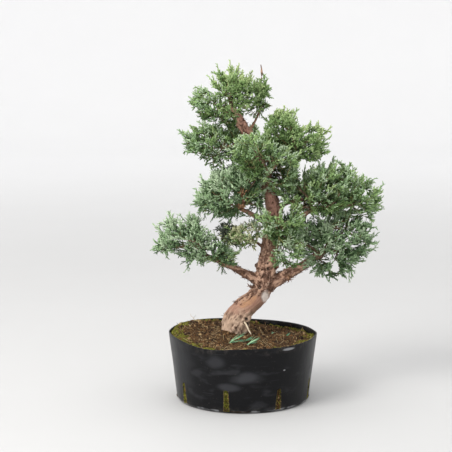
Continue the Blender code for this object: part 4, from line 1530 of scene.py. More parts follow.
@dataclass
class SoilBed:
    """The potting mix, its crumbs, fibres and moss, and what lies on it."""

    pot: Pot
    foot: Triple = (-8.0, 15.0, 65.0)
    seat: float = 65.0
    at_wall: float = 61.5
    uneven: float = 1.3
    seat_radius: float = 19.0
    gap: float = 1.75
    around: int = 260
    rows: int = 84
    wall_rows: int = 24
    hollow_place: tuple[float, float] = (34.0, 46.0)
    hollow_size: float = 27.0
    hollow_depth: float = 5.0
    # Where the soil is banked up along the wall: heading, spread and height
    banks: tuple[Triple, ...] = ((math.radians(146), 0.72, 9.0), (math.radians(55), 0.6, 3.2))
    heap_place: tuple[float, float] = (-19.0, 3.0)
    heap_size: float = 9.0
    heap: float = 4.6
    front_rise: float = 1.6
    moss_height: float = 1.3
    moss_left: float = math.radians(192)
    moss_right: float = -0.25
    moss_front: float = -math.pi / 2
    # Fallen sprigs: foot, heading, size and number of blades
    sprigs: tuple[tuple[float, float, float, float, int], ...] = (
        (-14, -31, 0.15, 20.0, 10), (4, -42, 0.45, 16.0, 10), (2, -24, 0.25, 11.0, 5), (46, 2, 1.1, 7.0, 3),
        (30, 22, 1.3, 7.0, 3),
    )
    # x, y, z and diameter of the pale root at the trunk's foot
    pale_root: tuple[tuple[float, float, float, float], ...] = (
        (1.5, 2.5, 79, 2.0), (3.6, 0.2, 76.5, 1.9), (6.0, -2.2, 71.5, 1.5), (9.0, -4.0, 66.5, 1.0),
    )
    slot_moss: tuple[float, ...] = (1.0, 0.22, 0.5, 0.8, 0.3, 0.6, 0.25, 0.4)
    crumb_count: int = 3400
    crumb_mix: Triple = (0.52, 0.36, 0.12)
    large_crumbs: float = 0.07
    slot_crumbs: int = 60
    rim_crumbs: int = 24
    moss_count: int = 15000
    slot_moss_count: int = 520
    moss_mix: Triple = (0.35, 0.42, 0.23)
    fibre_count: int = 520
    fibre_pieces: int = 7
    standing_fibres: float = 0.17
    dry_fibres: float = 0.3

    def edge(self, turn: Array) -> Array:
        """How far the soil reaches in a direction."""
        return self.pot.radius_at(turn, np.full_like(turn, self.at_wall)) - self.gap

    def share(self, x: Array, y: Array) -> Array:
        """How far out a place lies: 0 in the middle of the pot and 1 at its wall."""
        return np.hypot(x, y) / self.edge(np.arctan2(y, x))

    def mossy(self, x: Array, y: Array) -> Array:
        """Finds how much moss grows: most along the wall at the left, the front and the right.

        Args:
            x: where each place lies across.
            y: where it lies away from the camera.

        Returns:
            From 0 for none to 1 for a full cover.
        """
        turn = np.arctan2(y, x)
        spots = np.stack([x, y, np.zeros_like(x)], 1)
        reach = self.share(x, y) + 0.13 * rough(spots, 12.0, 4.0) + 0.06 * rough(spots, 4.0)
        left = hump(np.remainder(turn, math.tau), self.moss_left, 0.65)
        right = hump(np.remainder(turn + math.pi, math.tau) - math.pi, self.moss_right, 0.5)
        front = hump(turn, self.moss_front, 1.0)
        return step(reach + 0.16 * left + 0.12 * right + 0.03 * front, 0.93, 1.03)

    def height(self, x: Array, y: Array) -> Array:
        """Shapes the soil's surface: a mound round the trunk, banks, a heap and a hollow behind.

        Args:
            x: where each place lies across.
            y: where it lies away from the camera.

        Returns:
            The height at each place.
        """
        away = np.maximum(0.0, np.hypot(x - self.foot[0], y - self.foot[1]) - self.seat_radius)
        uneven = np.minimum(1.0, away / 12)
        spots = np.stack([x, y, np.zeros_like(x)], 1)
        bumps = self.uneven * rough(spots, 14.0) + self.uneven * rough(spots + (0, 0, 9.0), 6.0)
        share = self.share(x, y)
        slope = (self.seat - self.at_wall) * uneven * share**2
        crumbs = 0.9 * rough(spots, 3.1, 6.0) + 0.45 * rough(spots, 1.5, 3.0)
        raised = self.front_rise * step(-y, 30.0, 60.0)
        turn = np.remainder(np.arctan2(y, x), math.tau)
        for towards, spread, high in self.banks:
            raised = raised + high * (hump(turn, towards, spread) * step(share, 0.5, 0.95))
        moss = self.moss_height * self.mossy(x, y)
        surface = self.seat - 0.3 - slope + uneven * bumps + crumbs + moss + raised
        dip = hump(np.hypot(x - self.hollow_place[0], y - self.hollow_place[1]), 0.0, self.hollow_size)
        heap = hump(np.hypot(x - self.heap_place[0], y - self.heap_place[1]), 0.0, self.heap_size)
        return surface - self.hollow_depth * dip + self.heap * heap

    def build(self) -> None:
        """Makes the soil and all that lies on it."""
        self.lay_soil()
        self.strew_crumbs()
        self.grow_moss()
        self.lay_fibres()
        self.drop_sprigs()

    def lay_soil(self) -> None:
        """Makes the body of the soil, rough on top and at the slots."""
        turn = math.tau * np.arange(self.around) / self.around
        way = np.stack([np.cos(turn), np.sin(turn), 0 * turn], 1)
        reach = self.edge(turn)[:, None]
        low = self.pot.floor + 0.4
        rings = [way * (reach - 9) + UP * low, way * (reach - 5) + UP * low]
        for height in np.linspace(low + self.pot.rounding, self.at_wall - 4, self.wall_rows):
            taper = (self.pot.rim_radius - self.pot.foot_radius) * (1 - height / self.pot.height)
            wall = way * (reach - taper)
            rings.append(wall - way * (0.5 + 0.5 * rough(wall + UP * height, 2.5)[:, None]) + UP * height)
        for share in np.linspace(0.995, 0.02, self.rows) ** 0.9:
            flat = way * reach * share
            rings.append(flat + UP * self.height(flat[:, 0], flat[:, 1])[:, None])
        pile = Pile()
        pile.add(*lathe(np.array(rings)))
        settle(pile.make("soil_bed", [Ground.MIX.value.make()]), "potting_soil", "soil")

    def scatter(self, rng: np.random.Generator, count: int, most: float = 0.985) -> tuple[Array, Array]:
        """Draws random places on the soil.

        Args:
            rng: the random numbers.
            count: how many places.
            most: how far out they may lie, as a share of the way to the wall.

        Returns:
            The x and the y of each.
        """
        turn = rng.uniform(0, math.tau, count)
        reach = self.edge(turn) * most * np.sqrt(rng.uniform(0, 1, count))
        return reach * np.cos(turn), reach * np.sin(turn)

    def wall_reach(self, turn: float, height: float) -> float:
        """How far out the pot's wall stands at one place."""
        return float(self.pot.radius_at(np.array([turn]), np.array([height]))[0])

    def strew_crumbs(self) -> None:
        """Strews crumbs of bark, peat and straw, and the mix that shows in the slots."""
        rng = np.random.default_rng(11)
        x, y = self.scatter(rng, self.crumb_count)
        centres = list(np.stack([x, y, self.height(x, y)], 1))
        rims: list[Array] = []
        for turn in self.pot.slots():
            out, across = heading(turn)
            for _ in range(self.slot_crumbs):
                height = rng.uniform(3.0, 22.0)
                reach = self.wall_reach(turn, height) - rng.uniform(1.2, 2.4)
                centres.append(out * reach + across * rng.uniform(-2.6, 2.6) + UP * height)
            for height in np.linspace(2.6, 23.6, self.rim_crumbs):
                reach = self.wall_reach(turn, height) - 0.15
                aside = self.pot.slot_foot / 2 + 0.1 - height * (self.pot.slot_foot - self.pot.slot_head) / 49
                for side in (-1, 1):
                    rims.append(out * reach + across * aside * side + UP * (height + rng.uniform(-0.5, 0.5)))
        pile = Pile()
        for centre in centres:
            size = rng.gamma(3.0, 0.24) + 0.3
            size += rng.uniform(0.6, 2.0) if rng.uniform() < self.large_crumbs else 0.0
            self.add_crumb(pile, rng, centre, size, int(rng.choice(3, p=self.crumb_mix)))
        for centre in rims:
            self.add_crumb(pile, rng, centre, rng.uniform(0.25, 0.5), 2)
        finishes = [ground.value.make() for ground in (Ground.BARK, Ground.PEAT, Ground.STRAW)]
        settle(pile.make("soil_crumbs", finishes, smooth=False), "potting_soil")

    @staticmethod
    def add_crumb(pile: Pile, rng: np.random.Generator, centre: Array, size: float, shade: int) -> None:
        """Adds one crumb: an uneven, squashed double pyramid of five sides.

        Args:
            pile: where it goes.
            rng: the random numbers.
            centre: its place.
            size: its size.
            shade: its material's place in the list.
        """
        turn = math.tau * (np.arange(5) + rng.uniform(0, 1)) / 5
        ring = np.stack([np.cos(turn), np.sin(turn), rng.normal(0, 0.25, 5)], 1)
        ring = ring * rng.uniform(0.7, 1.15, (5, 1))
        points = np.vstack([ring, [(0.1, 0, 0.75), (0, 0.1, -0.75)]])
        basis, _ = np.linalg.qr(rng.normal(0, 1, (3, 3)))
        points = (points * (1.0, rng.uniform(0.6, 1.1), rng.uniform(0.5, 0.9))) @ basis * size + centre
        faces = np.vstack([fan(0, 5, 5), fan(0, 5, 6, below=True)])
        pile.add(points, faces if np.linalg.det(basis) > 0 else faces[:, ::-1], shade)

    def grow_moss(self) -> None:
        """Grows short yellow-green moss along the wall and in the slots."""
        rng = np.random.default_rng(17)
        x, y = self.scatter(rng, self.moss_count * 5, 1.0)
        keep = rng.uniform(0, 1, len(x)) < self.mossy(x, y) ** 1.5
        x, y = x[keep][: self.moss_count], y[keep][: self.moss_count]
        roots = np.stack([x, y, self.height(x, y) - 0.2], 1)
        ways = rng.normal(0, 0.45, roots.shape) + UP
        for turn, full in zip(self.pot.slots(), self.slot_moss):
            out, across = heading(turn)
            count = round(self.slot_moss_count * full)
            height = rng.uniform(2.2, 24.0, (count, 1))
            aside = rng.uniform(-1, 1, (count, 1))
            half = self.pot.slot_foot / 2 - height * 0.035
            aside = np.sign(aside) * np.abs(aside) ** (0.3 + 0.5 * full) * half
            wall = self.pot.radius_at(np.full(count, turn), height[:, 0])[:, None] - 0.9
            roots = np.vstack([roots, out * wall + across * aside + UP * height])
            ways = np.vstack([ways, out + rng.normal(0, 0.5, (count, 3))])
        count = len(roots)
        ways = unit(ways)
        side = unit(np.cross(ways, rng.normal(0, 1, (count, 3))))
        across = np.cross(ways, side)
        length = rng.uniform(0.8, 2.0, (count, 1))
        width = rng.uniform(0.16, 0.30, (count, 1))
        turns = [k * math.tau / 3 for k in range(3)]
        corners = [roots + width * (math.cos(turn) * side + math.sin(turn) * across) for turn in turns]
        points = np.stack([*corners, roots + ways * length], 1).reshape(-1, 3)
        first = (np.arange(count) * 4)[:, None]
        faces = np.stack([first + (0, 1, 3), first + (1, 2, 3), first + (2, 0, 3)], 1).reshape(-1, 3)
        pile = Pile()
        pile.add(points, faces, np.repeat(rng.choice(3, count, p=self.moss_mix), 3))
        mosses = (Ground.DEEP_MOSS, Ground.GREEN_MOSS, Ground.BRIGHT_MOSS)
        settle(pile.make("moss", [moss.value.make() for moss in mosses]), "potting_soil")

    def lay_fibres(self) -> None:
        """Lays fine roots and dry stalks on the soil, and the pale root at the trunk's foot."""
        rng = np.random.default_rng(23)
        pile = Pile()
        count = self.fibre_pieces
        x, y = self.scatter(rng, self.fibre_count, 0.95)
        for i in range(self.fibre_count):
            length, stands = rng.uniform(5, 17), rng.uniform() < self.standing_fibres
            turn = rng.uniform(0, math.tau)
            bend = rng.normal(0, 0.16)
            spots = [(x[i], y[i])]
            for _ in range(count):
                turn += bend + rng.normal(0, 0.12)
                ahead = (math.cos(turn) * length / count, math.sin(turn) * length / count)
                spots.append((spots[-1][0] + ahead[0], spots[-1][1] + ahead[1]))
            flat = np.array(spots)
            flat = flat * np.minimum(1.0, 0.97 / self.share(flat[:, 0], flat[:, 1]))[:, None]
            start = rng.uniform(0.2, 0.6)
            end = rng.uniform(3, 9) if stands else rng.uniform(0, 1.4)
            rise = start + np.linspace(0, 1, count + 1) ** 1.3 * end
            top = self.height(flat[:, 0], flat[:, 1]) + rise
            radius = np.r_[np.full(count, rng.uniform(0.10, 0.24)), 0.0]
            fibre = tube(np.column_stack([flat, top, radius]), 4)
            pile.add(*fibre, 1 if rng.uniform() < self.dry_fibres else 0)
        pile.add(*tube(smooth_path(self.pale_root, 1.0), 8), 2)
        finishes = [ground.value.make() for ground in (Ground.FIBRE, Ground.STALK, Ground.ROOT)]
        settle(pile.make("soil_fibres", finishes), "potting_soil")

    def drop_sprigs(self) -> None:
        """Drops green sprigs before the trunk, each a few slender blades from one foot."""
        pile = Pile()
        rng = np.random.default_rng(12)
        for x, y, towards, size, count in self.sprigs:
            for k in range(count):
                turn = towards + rng.normal(0, 0.30)
                length, rise = size * rng.uniform(0.55, 1.0), rng.uniform(0.08, 0.62)
                t = np.linspace(0, 1, 6)
                path = np.zeros((6, 4))
                path[:, 0] = x + math.cos(turn) * length * t + rng.uniform(-1, 1)
                path[:, 1] = y + math.sin(turn) * length * t + rng.uniform(-1, 1)
                path[:, 2] = self.height(path[:1, 0], path[:1, 1]) + 0.8 + rise * length * t**0.8
                path[:, 3] = 0.38 * np.sin(math.pi * (0.2 + 0.8 * t))
                pile.add(*tube(path, 4), k % 2)
        finishes = [ground.value.make() for ground in (Ground.TEAL_SPRIG, Ground.LIGHT_SPRIG)]
        settle(pile.make("fallen_sprigs", finishes), "juniper_foliage")


Tips = tuple[tuple[float, float], ...]


@dataclass(frozen=True)
class MassPlan:
    """One mass of foliage: the lobes that make up its space, and its tone."""

    tone: Tone
    lobes: tuple[tuple[Triple, Triple], ...]
    fullness: float = 1.0
    habits: tuple[Habit, ...] = (Habit.FAN, Habit.FAN, Habit.FINGER, Habit.STRAND)


@dataclass
class Crown:
    """The foliage: twigs grown from each limb's tip, and the sprays that they carry."""

    limbs: Limbs
    studio: Studio
    masses: dict[str, MassPlan] = field(default_factory=lambda: {
        "apex": MassPlan(Tone.FRESH, (
            ((-15, 0, 320), (20, 24, 17)), ((0, 0, 317), (18, 24, 20)), ((-11, -13, 301), (18, 14, 15)),
        )),
        "apex_left": MassPlan(Tone.GREEN, (
            ((-35, 4, 304), (20, 20, 18)), ((-18, 3, 292), (21, 18, 19)), ((-23, 0, 307), (15, 15, 13)),
        )),
        "apex_right": MassPlan(Tone.FRESH, (
            ((15, 5, 316), (11, 13, 20)), ((22, 5, 303), (10, 9, 7)), ((8, -1, 300), (11, 10, 10)),
        ), 0.7, (Habit.STRAND, Habit.STRAND, Habit.FAN)),
        "left_upper": MassPlan(Tone.GREEN, (
            ((-38, 4, 267), (25, 24, 18)), ((-18, 5, 256), (26, 24, 27)), ((-13, 10, 274), (14, 14, 15)),
            ((-25, 5, 280), (14, 15, 10)),
        )),
        "right_upper": MassPlan(Tone.FRESH, (
            ((38, 2, 279), (23, 24, 20)), ((63, -2, 264), (26, 26, 22)), ((44, 14, 255), (22, 22, 22)),
        )),
        "front_upper": MassPlan(Tone.GREEN, (
            ((12, -32, 258), (28, 23, 25)), ((38, -30, 243), (26, 23, 24)), ((15, -24, 236), (17, 19, 15)),
        )),
        "left_mid": MassPlan(Tone.BLUE, (
            ((-17, -6, 214), (30, 30, 27)), ((3, -16, 229), (25, 21, 22)), ((5, -14, 205), (22, 20, 19)),
            ((-14, 8, 236), (17, 22, 13)),
        )),
        "right_mid": MassPlan(Tone.GREEN, (
            ((90, -5, 217), (38, 36, 31)), ((58, -10, 214), (32, 28, 31)), ((122, -5, 203), (20, 25, 24)),
            ((38, 14, 232), (17, 16, 16)),
        )),
        "right_low": MassPlan(Tone.BLUE, (
            ((104, -3, 169), (33, 31, 29)), ((88, -6, 147), (30, 25, 22)), ((70, 4, 172), (25, 22, 23)),
            ((112, -4, 188), (24, 22, 16)), ((110, -4, 146), (10, 11, 10)),
        )),
        "left_low": MassPlan(Tone.BLUE, (
            ((-60, -8, 171), (26, 26, 23)), ((-37, -6, 157), (28, 23, 20)), ((-15, -4, 148), (13, 12, 12)),
            ((-80, -8, 158), (13, 13, 9)),
        ), 0.9),
        "front_low": MassPlan(Tone.GREEN, (
            ((38, -34, 191), (25, 21, 25)), ((43, -34, 160), (22, 19, 23)),
        ), 1.1),
        "left_inner": MassPlan(Tone.OLIVE, (
            ((4, -8, 174), (22, 16, 17)), ((-17, -8, 173), (13, 12, 13)), ((4, -9, 163), (15, 12, 8)),
        ), 1.5, (Habit.STRAND, Habit.STRAND, Habit.FAN)),
        "back_upper": MassPlan(Tone.GREEN, (
            ((20, 50, 254), (34, 28, 29)), ((2, 34, 266), (26, 22, 22)), ((44, 36, 246), (26, 24, 24)),
            ((-14, 23, 290), (13, 12, 15)),
        )),
        "back_left": MassPlan(Tone.BLUE, (
            ((-11, 50, 212), (32, 26, 26)), ((-30, 34, 200), (20, 20, 18)), ((8, 36, 230), (24, 22, 20)),
        )),
        "back_right": MassPlan(Tone.GREEN, (
            ((82, 56, 205), (38, 29, 29)), ((56, 42, 222), (26, 22, 22)), ((106, 38, 192), (24, 22, 22)),
        )),
        "back_low": MassPlan(Tone.BLUE, (
            ((55, 44, 168), (22, 21, 19)), ((78, 34, 164), (20, 18, 17)), ((34, 38, 184), (20, 18, 18)),
        )),
    })
    # Ways through the crown along the camera's sight, where the photograph shows sky or bark: the middle
    # across and up, the half sizes, and how far back each goes
    openings: tuple[tuple[float, float, float, float, float], ...] = (
        (1.5, 284, 8.5, 9, 3), (29.5, 204, 8, 13, 4), (33, 232, 10, 9, 4), (7, 197, 8, 6, 2),
        (44, 197, 4, 8, 200), (44.5, 150, 2, 4, 200), (38, 139, 3, 3, 200), (7.5, 142, 10, 12.5, 200),
        (-35, 183.5, 10.5, 6.4, 200), (-8, 185.5, 5, 3.6, 200), (21, 158, 8, 12, 2),
        (-18.6, 281.5, 2.6, 3, 200), (19, 284.5, 4.5, 9, 200), (24, 312.5, 8, 3.2, 200),
        (25.5, 297, 4.5, 4, 200), (12, 299, 3, 3, 200), (-28.5, 318.5, 2.4, 2, 200),
        (-25, 329.5, 2.4, 2.2, 200), (60.5, 237, 4.6, 11, 200), (-39, 238, 7, 5, 200), (-54, 252, 7, 4, 200),
        (86, 187, 2.4, 3.4, 200), (103, 182, 2.6, 3, 200), (95, 176, 2.4, 2.6, 200),
        (112, 188, 2.4, 2.8, 200), (106, 197, 2.6, 1.8, 200), (68, 172, 2.2, 2.6, 200),
        (126, 216, 3, 4, 200), (52, 214, 2, 2, 200), (75, 182, 2.5, 4, 200), (117, 200, 3, 2.5, 200),
        (115, 158, 3.5, 3.5, 200), (94.6, 137, 4.5, 7, 200),
    )
    sight_drop: float = math.tan(math.radians(8.36))
    # Places with shades of their own, and two where the sprays behind the openings are darkened as painted
    # shade: centre, size, and the shades of the sprays and of their tips
    patches: tuple[tuple[Triple, float, Shade, Shade], ...] = (
        # The first two paint shade onto the sprays seen through the openings
        ((34, 24, 230), 20.0, Shade.BARE, Shade.DEEP), ((6, 22, 197), 14.0, Shade.BARE, Shade.DEEP),
        ((39, -16, 270), 5.5, Shade.RUST, Shade.TAN), ((-3, -22, 201), 5.0, Shade.RUST, Shade.TAN),
        ((4, -8, 183), 4.0, Shade.BARE, Shade.TAN), ((62, -26, 190), 4.0, Shade.RUST, Shade.OLIVE),
        ((-17, -8, 176), 9.0, Shade.DRY, Shade.DRY), ((-12, -4, 148), 12.0, Shade.OLIVE, Shade.FRESH),
        ((6, -28, 214), 11.0, Shade.OLIVE, Shade.LEAF), ((2, -12, 300), 10.0, Shade.OLIVE, Shade.FRESH),
        ((66, -26, 196), 17.0, Shade.OLIVE, Shade.LEAF), ((74, -24, 184), 10.0, Shade.BARE, Shade.OLIVE),
        ((40, -44, 168), 11.0, Shade.OLIVE, Shade.FROST),
    )
    # The tips that stand out of the outline, across and down in the picture's 452 units
    leaders: dict[str, Tips] = field(default_factory=lambda: {
        "apex": (
            (215, 64), (229, 60), (240, 63), (251, 69), (207, 75), (213, 70), (229, 66), (241, 70), (219, 72),
        ),
        "apex_right": ((265, 73), (273, 89), (274, 98), (262, 79), (267, 84)),
        "apex_left": ((194, 86), (187, 102), (193, 111)),
        "left_upper": ((196, 122), (181, 130), (182, 140), (186, 152), (196, 156), (188, 126)),
        "right_upper": (
            (288, 108), (300, 110), (319, 120), (327, 129), (330, 142), (324, 152), (281, 113), (294, 112),
        ),
        "left_mid": ((197, 176), (195, 187), (190, 206), (199, 215), (209, 166), (214, 219), (226, 217)),
        "left_inner": ((222, 243), (231, 221), (238, 249)),
        "right_mid": (
            (337, 157), (351, 163), (377, 178), (385, 183), (383, 189), (382, 200), (380, 212), (324, 161),
            (358, 170),
        ),
        "right_low": (
            (378, 227), (376, 246), (366, 262), (353, 278), (338, 276), (323, 275), (309, 272), (344, 274),
            (303, 270), (314, 277),
        ),
        "left_low": (
            (169, 210), (157, 222), (153, 239), (150, 251), (166, 259), (192, 213), (204, 226), (212, 231),
            (160, 231), (237, 258), (239, 266),
        ),
    })
    # The tips of thin strands that hang clear, given the same way
    danglers: dict[str, Tips] = field(default_factory=lambda: {
        "left_mid": (
            (197, 217), (204, 221), (211, 223), (218, 222), (226, 225), (233, 222), (240, 221), (240, 213),
            (246, 214), (252, 211), (257, 215),
        ),
        "left_inner": ((240, 252), (247, 249), (229, 250), (236, 252)),
        "left_low": (
            (183, 272), (189, 271), (180, 264), (197, 266), (206, 267), (216, 271), (222, 275), (229, 272),
        ),
        "right_low": ((331, 283), (320, 277), (346, 282), (312, 274)),
        "front_low": ((283, 250), (290, 263), (277, 252), (296, 266), (284, 259)),
        "apex_right": ((262, 112), (266, 106), (257, 108), (248, 113), (252, 117), (256, 119), (253, 105)),
        "right_mid": ((300, 222), (322, 226)),
    })
    # How densely the twigs' ends are set: first the boughlets of the solids' rule, then the finer twigs
    spacings: tuple[float, ...] = (26.6, 10.4)
    pieces: tuple[float, ...] = (8.0, 5.0)
    tries_per_end: float = 8.0
    wide_lobe: float = 32.0
    innermost: tuple[float, ...] = (0.3, 0.42)
    outermost: tuple[float, ...] = (0.80, 0.84)
    turn_cost: float = 0.9
    nearest_tries: int = 5
    stem_length: float = 6.0
    twig_radius: float = 0.34
    pipe_power: float = 0.46
    upward_pull: float = 0.35
    mass_margin: float = 0.03
    limb_margin: float = 0.9
    side_angle: float = math.radians(38)
    # The chance of a side spray next to a twig's end, and how much it drops at each place further in
    side_chance: float = 0.62
    side_drop: float = 0.07
    tuft_angles: tuple[float, float] = (math.radians(14), math.radians(31))
    tuft_sprays: int = 4
    golden_turn: float = math.radians(137.5)
    ragged: float = 0.24
    size_share: float = 0.98
    wave: float = 0.34
    wave_size: float = 11.0
    # Where the space behind the tree starts to close in, and how fast, for each millimetre
    back_start: float = 68.0
    back_closing: float = 0.04
    woody_radius: float = 0.62
    stout_radius: float = 1.2

    def __post_init__(self) -> None:
        """Lists the limbs' skin and each mass's lobes as arrays."""
        self.stations = np.vstack(list(self.limbs.paths(2.5).values()))
        self.lobes = {name: np.array(plan.lobes, float).swapaxes(0, 1) for name, plan in self.masses.items()}
        self.woody, self.green = Pile(), Pile()

    def depth(self, points: Array, name: str) -> Array:
        """How deep points lie in a mass: 0 at a lobe's middle and 1 on its skin."""
        centres, halves = self.lobes[name]
        return np.sqrt((((points[:, None] - centres) / halves) ** 2).sum(2)).min(1)

    def free(self, points: Array, name: str, most: float = 1.0) -> Array:
        """Finds which points lie in a mass's own space, clear of the limbs and of the openings.

        Args:
            points: the points, one to a row.
            name: the mass.
            most: a factor on the size of its space.

        Returns:
            Whether each does.
        """
        own = self.depth(points, name)
        closing = self.back_closing * np.maximum(points[:, 1] - self.back_start, 0)
        clear = own + closing <= most * (self.size_share + self.wave * rough(points, self.wave_size, 31.0))
        for other in self.masses:
            if other != name:
                clear &= self.depth(points, other) >= own + self.mass_margin
        level = points[:, 2] + points[:, 1] * self.sight_drop
        for across, up, wide, high, back in self.openings:
            off = np.hypot((points[:, 0] - across) / wide, (level - up) / high)
            clear &= (off >= 1) | (points[:, 1] >= back)
        away = np.linalg.norm(points[:, None] - self.stations[:, :3], axis=2) - self.stations[:, 3]
        return clear & (away.min(1) > self.limb_margin)

    def nearest_lobe(self, point: Array, name: str) -> tuple[Array, Array]:
        """The middle and the half sizes of the lobe of a mass that a point lies deepest in."""
        centres, halves = self.lobes[name]
        nearest = int(np.argmin(np.linalg.norm((point - centres) / halves, axis=1)))
        return centres[nearest], halves[nearest]

    def outward(self, point: Array, name: str) -> Array:
        """The way a spray faces: away from the middle of its lobe, and up."""
        centre, half = self.nearest_lobe(point, name)
        return unit(unit((point - centre) / half**2) + UP * self.upward_pull)

    def build(self, bark: bpy.types.Material, patterns: Patterns) -> None:
        """Grows every mass.

        Args:
            bark: the finish of the boughlets.
            patterns: the patterns of sprays of each habit.
        """
        finishes = [shade.value.make() for shade in Shade]
        for number, name in enumerate(self.masses):
            growth = Growth(self, name, number, patterns)
            growth.grow()
            growth.add_twigs()
            growth.leaf()
            settle(growth.pile.make(f"sprays_{name}", finishes), "juniper_foliage", f"foliage_{name}")
        settle(self.woody.make("boughlets", [bark]), "juniper_bark")
        settle(self.green.make("young_twigs", [Ground.YOUNG.value.make()]), "juniper_bark")


class Growth:
    """One mass's twigs, grown by the rule of the solids and carried to finer ones."""

    most_nodes: int = 9000
    lead_distance: float = 19.0
    lead_lengths: tuple[float, float] = (9.0, 17.5)
    shorter_chance: float = 0.35

    def __init__(self, crown: Crown, name: str, number: int, patterns: Patterns) -> None:
        """Starts at the tip of the limb that carries the mass.

        Args:
            crown: the rule, and the space that every mass keeps.
            name: the mass.
            number: the seed of its random numbers.
            patterns: the patterns of sprays of each habit.
        """
        self.crown, self.name, self.patterns = crown, name, patterns
        self.plan = crown.masses[name]
        self.pile = Pile()
        self.rng = np.random.default_rng(100 + number)
        carrier = crown.limbs.paths(2.5)["trunk" if name == "apex" else name]
        way = unit(carrier[-1, :3] - carrier[-2, :3])
        self.foot, self.foot_radius, self.foot_way = carrier[-1, :3], float(carrier[-1, 3]), way
        self.nodes = np.zeros((self.most_nodes, 3))
        self.ways = np.zeros((self.most_nodes, 3))
        self.parents = np.full(self.most_nodes, -1)
        self.nodes[0], self.ways[0], self.count = self.foot + way * crown.stem_length, way, 1
        self.twigs: list[list[int]] = []
        self.leaders: list[tuple[Array, Array]] = []
        self.danglers: list[tuple[Array, Array]] = []
        self.most = 1.0

    def halton(self, count: int) -> Array:
        """Makes an even, unclustered sequence of points, shifted at random.

        Args:
            count: how many.

        Returns:
            The points, in the unit cube.
        """
        columns = []
        for base in (2, 3, 5):
            index, value, share = np.arange(1, count + 1), np.zeros(count), 1.0 / base
            while index.any():
                index, digit = np.divmod(index, base)
                value += digit * share
                share /= base
            columns.append((value + self.rng.uniform()) % 1)
        return np.stack(columns, 1)

    def ends(self, level: int) -> Array:
        """Spreads the ends of twigs evenly through the mass.

        Args:
            level: 0 for the boughlets and 1 for the finer twigs.

        Returns:
            Their places, nearest the foot first.
        """
        crown = self.crown
        found = [self.nodes[0]]
        full = self.plan.fullness ** (-1 / 3)
        for centre, half in zip(*crown.lobes[self.name]):
            size = float(np.prod(half)) ** (1 / 3)
            spacing = crown.spacings[level] * min(1.0, 0.5 + 0.5 * size / crown.wide_lobe) * full
            tries = round(crown.tries_per_end * 8 * float(np.prod(half)) / spacing**3)
            points = centre + (self.halton(tries) * 2 - 1) * half
            depth = crown.depth(points, self.name)
            points = points[(depth > crown.innermost[level]) & (depth < crown.outermost[level])]
            for point in points[crown.free(points, self.name)]:
                if np.linalg.norm(np.array(found) - point, axis=1).min() > spacing:
                    found.append(point)
        near_first = sorted(found[1:], key=lambda point: float(np.linalg.norm(point - self.foot)))
        return np.array(near_first).reshape(-1, 3)

    def flow(self, point: Array) -> Array:
        """The way shoots head at a point: out of their lobe, away from the limb's tip, and up."""
        return unit(self.crown.outward(point, self.name) + unit(point - self.foot) * 0.8 + UP * 0.15)

    def reach(self, start: int, end: Array, piece: float, forced: bool = False) -> bool:
        """Grows one twig from a node to an end, or nothing where the way is blocked.

        Args:
            start: the node.
            end: where the twig ends.
            piece: about how far apart its nodes lie.
            forced: whether it grows even through a blocked way.

        Returns:
            Whether it grew.
        """
        point, way = self.nodes[start], self.ways[start]
        chord = end - point
        length = float(np.linalg.norm(chord))
        pieces = max(2, round(length / piece))
        leave = unit(way * 0.8 + chord / length) * length / 3
        arrive = unit(self.flow(end) + chord / length) * length / 3
        t = np.arange(1, 2 * pieces + 1)[:, None] / (2 * pieces)
        curve = point * (1 - t) ** 3 + (point + leave) * 3 * t * (1 - t) ** 2
        curve = curve + (end - arrive) * 3 * t**2 * (1 - t) + end * t**3
        if not forced and not self.crown.free(curve, self.name).all():
            return False
        twig = [start]
        for spot in curve[1::2]:
            self.ways[self.count] = unit(spot - self.nodes[twig[-1]])
            self.nodes[self.count] = spot
            self.parents[self.count] = twig[-1]
            twig.append(self.count)
            self.count += 1
        self.twigs.append(twig)
        return True

    def grow(self) -> None:
        """Joins each end to the part of the tree that it can reach with the least length and bending."""
        crown = self.crown
        for level, piece in enumerate(crown.pieces):
            for end in self.ends(level):
                chords = end - self.nodes[: self.count]
                lengths = np.linalg.norm(chords, axis=1)
                turn = 1 - (unit(chords) * self.ways[: self.count]).sum(1)
                cost = lengths * (1 + crown.turn_cost * turn) + 99 * (lengths < 2)
                for start in np.argsort(cost)[: crown.nearest_tries]:
                    if self.reach(int(start), end, piece):
                        break
        self.leaders = [self.lead(*tip) for tip in crown.leaders.get(self.name, ())]
        self.danglers = [self.lead(*tip) for tip in crown.danglers.get(self.name, ())]

    def lead(self, across: float, down: float) -> tuple[Array, Array]:
        """Grows a twig towards a tip that stands out of the outline.

        Args:
            across: the tip's place across the picture.
            down: its place down the picture.

        Returns:
            Where the twig's last shoot starts and where it ends.
        """
        depths = self.nodes[1 : self.count, 1]
        seen = np.array([self.crown.studio.place_at(across, down, y) for y in depths.tolist()])
        away = np.linalg.norm(seen - self.nodes[1 : self.count], axis=1)
        start = int(np.argmin(np.abs(away - self.lead_distance) + 4 * (away < 12))) + 1
        tip = seen[start - 1]
        least, most = self.lead_lengths
        length = float(min(most, max(least, away[start - 1] * 0.78)))
        root = tip - unit(tip - self.nodes[start]) * length
        if np.linalg.norm(root - self.nodes[start]) > 2.5:
            self.reach(start, root, self.crown.pieces[-1], True)
        return root, tip

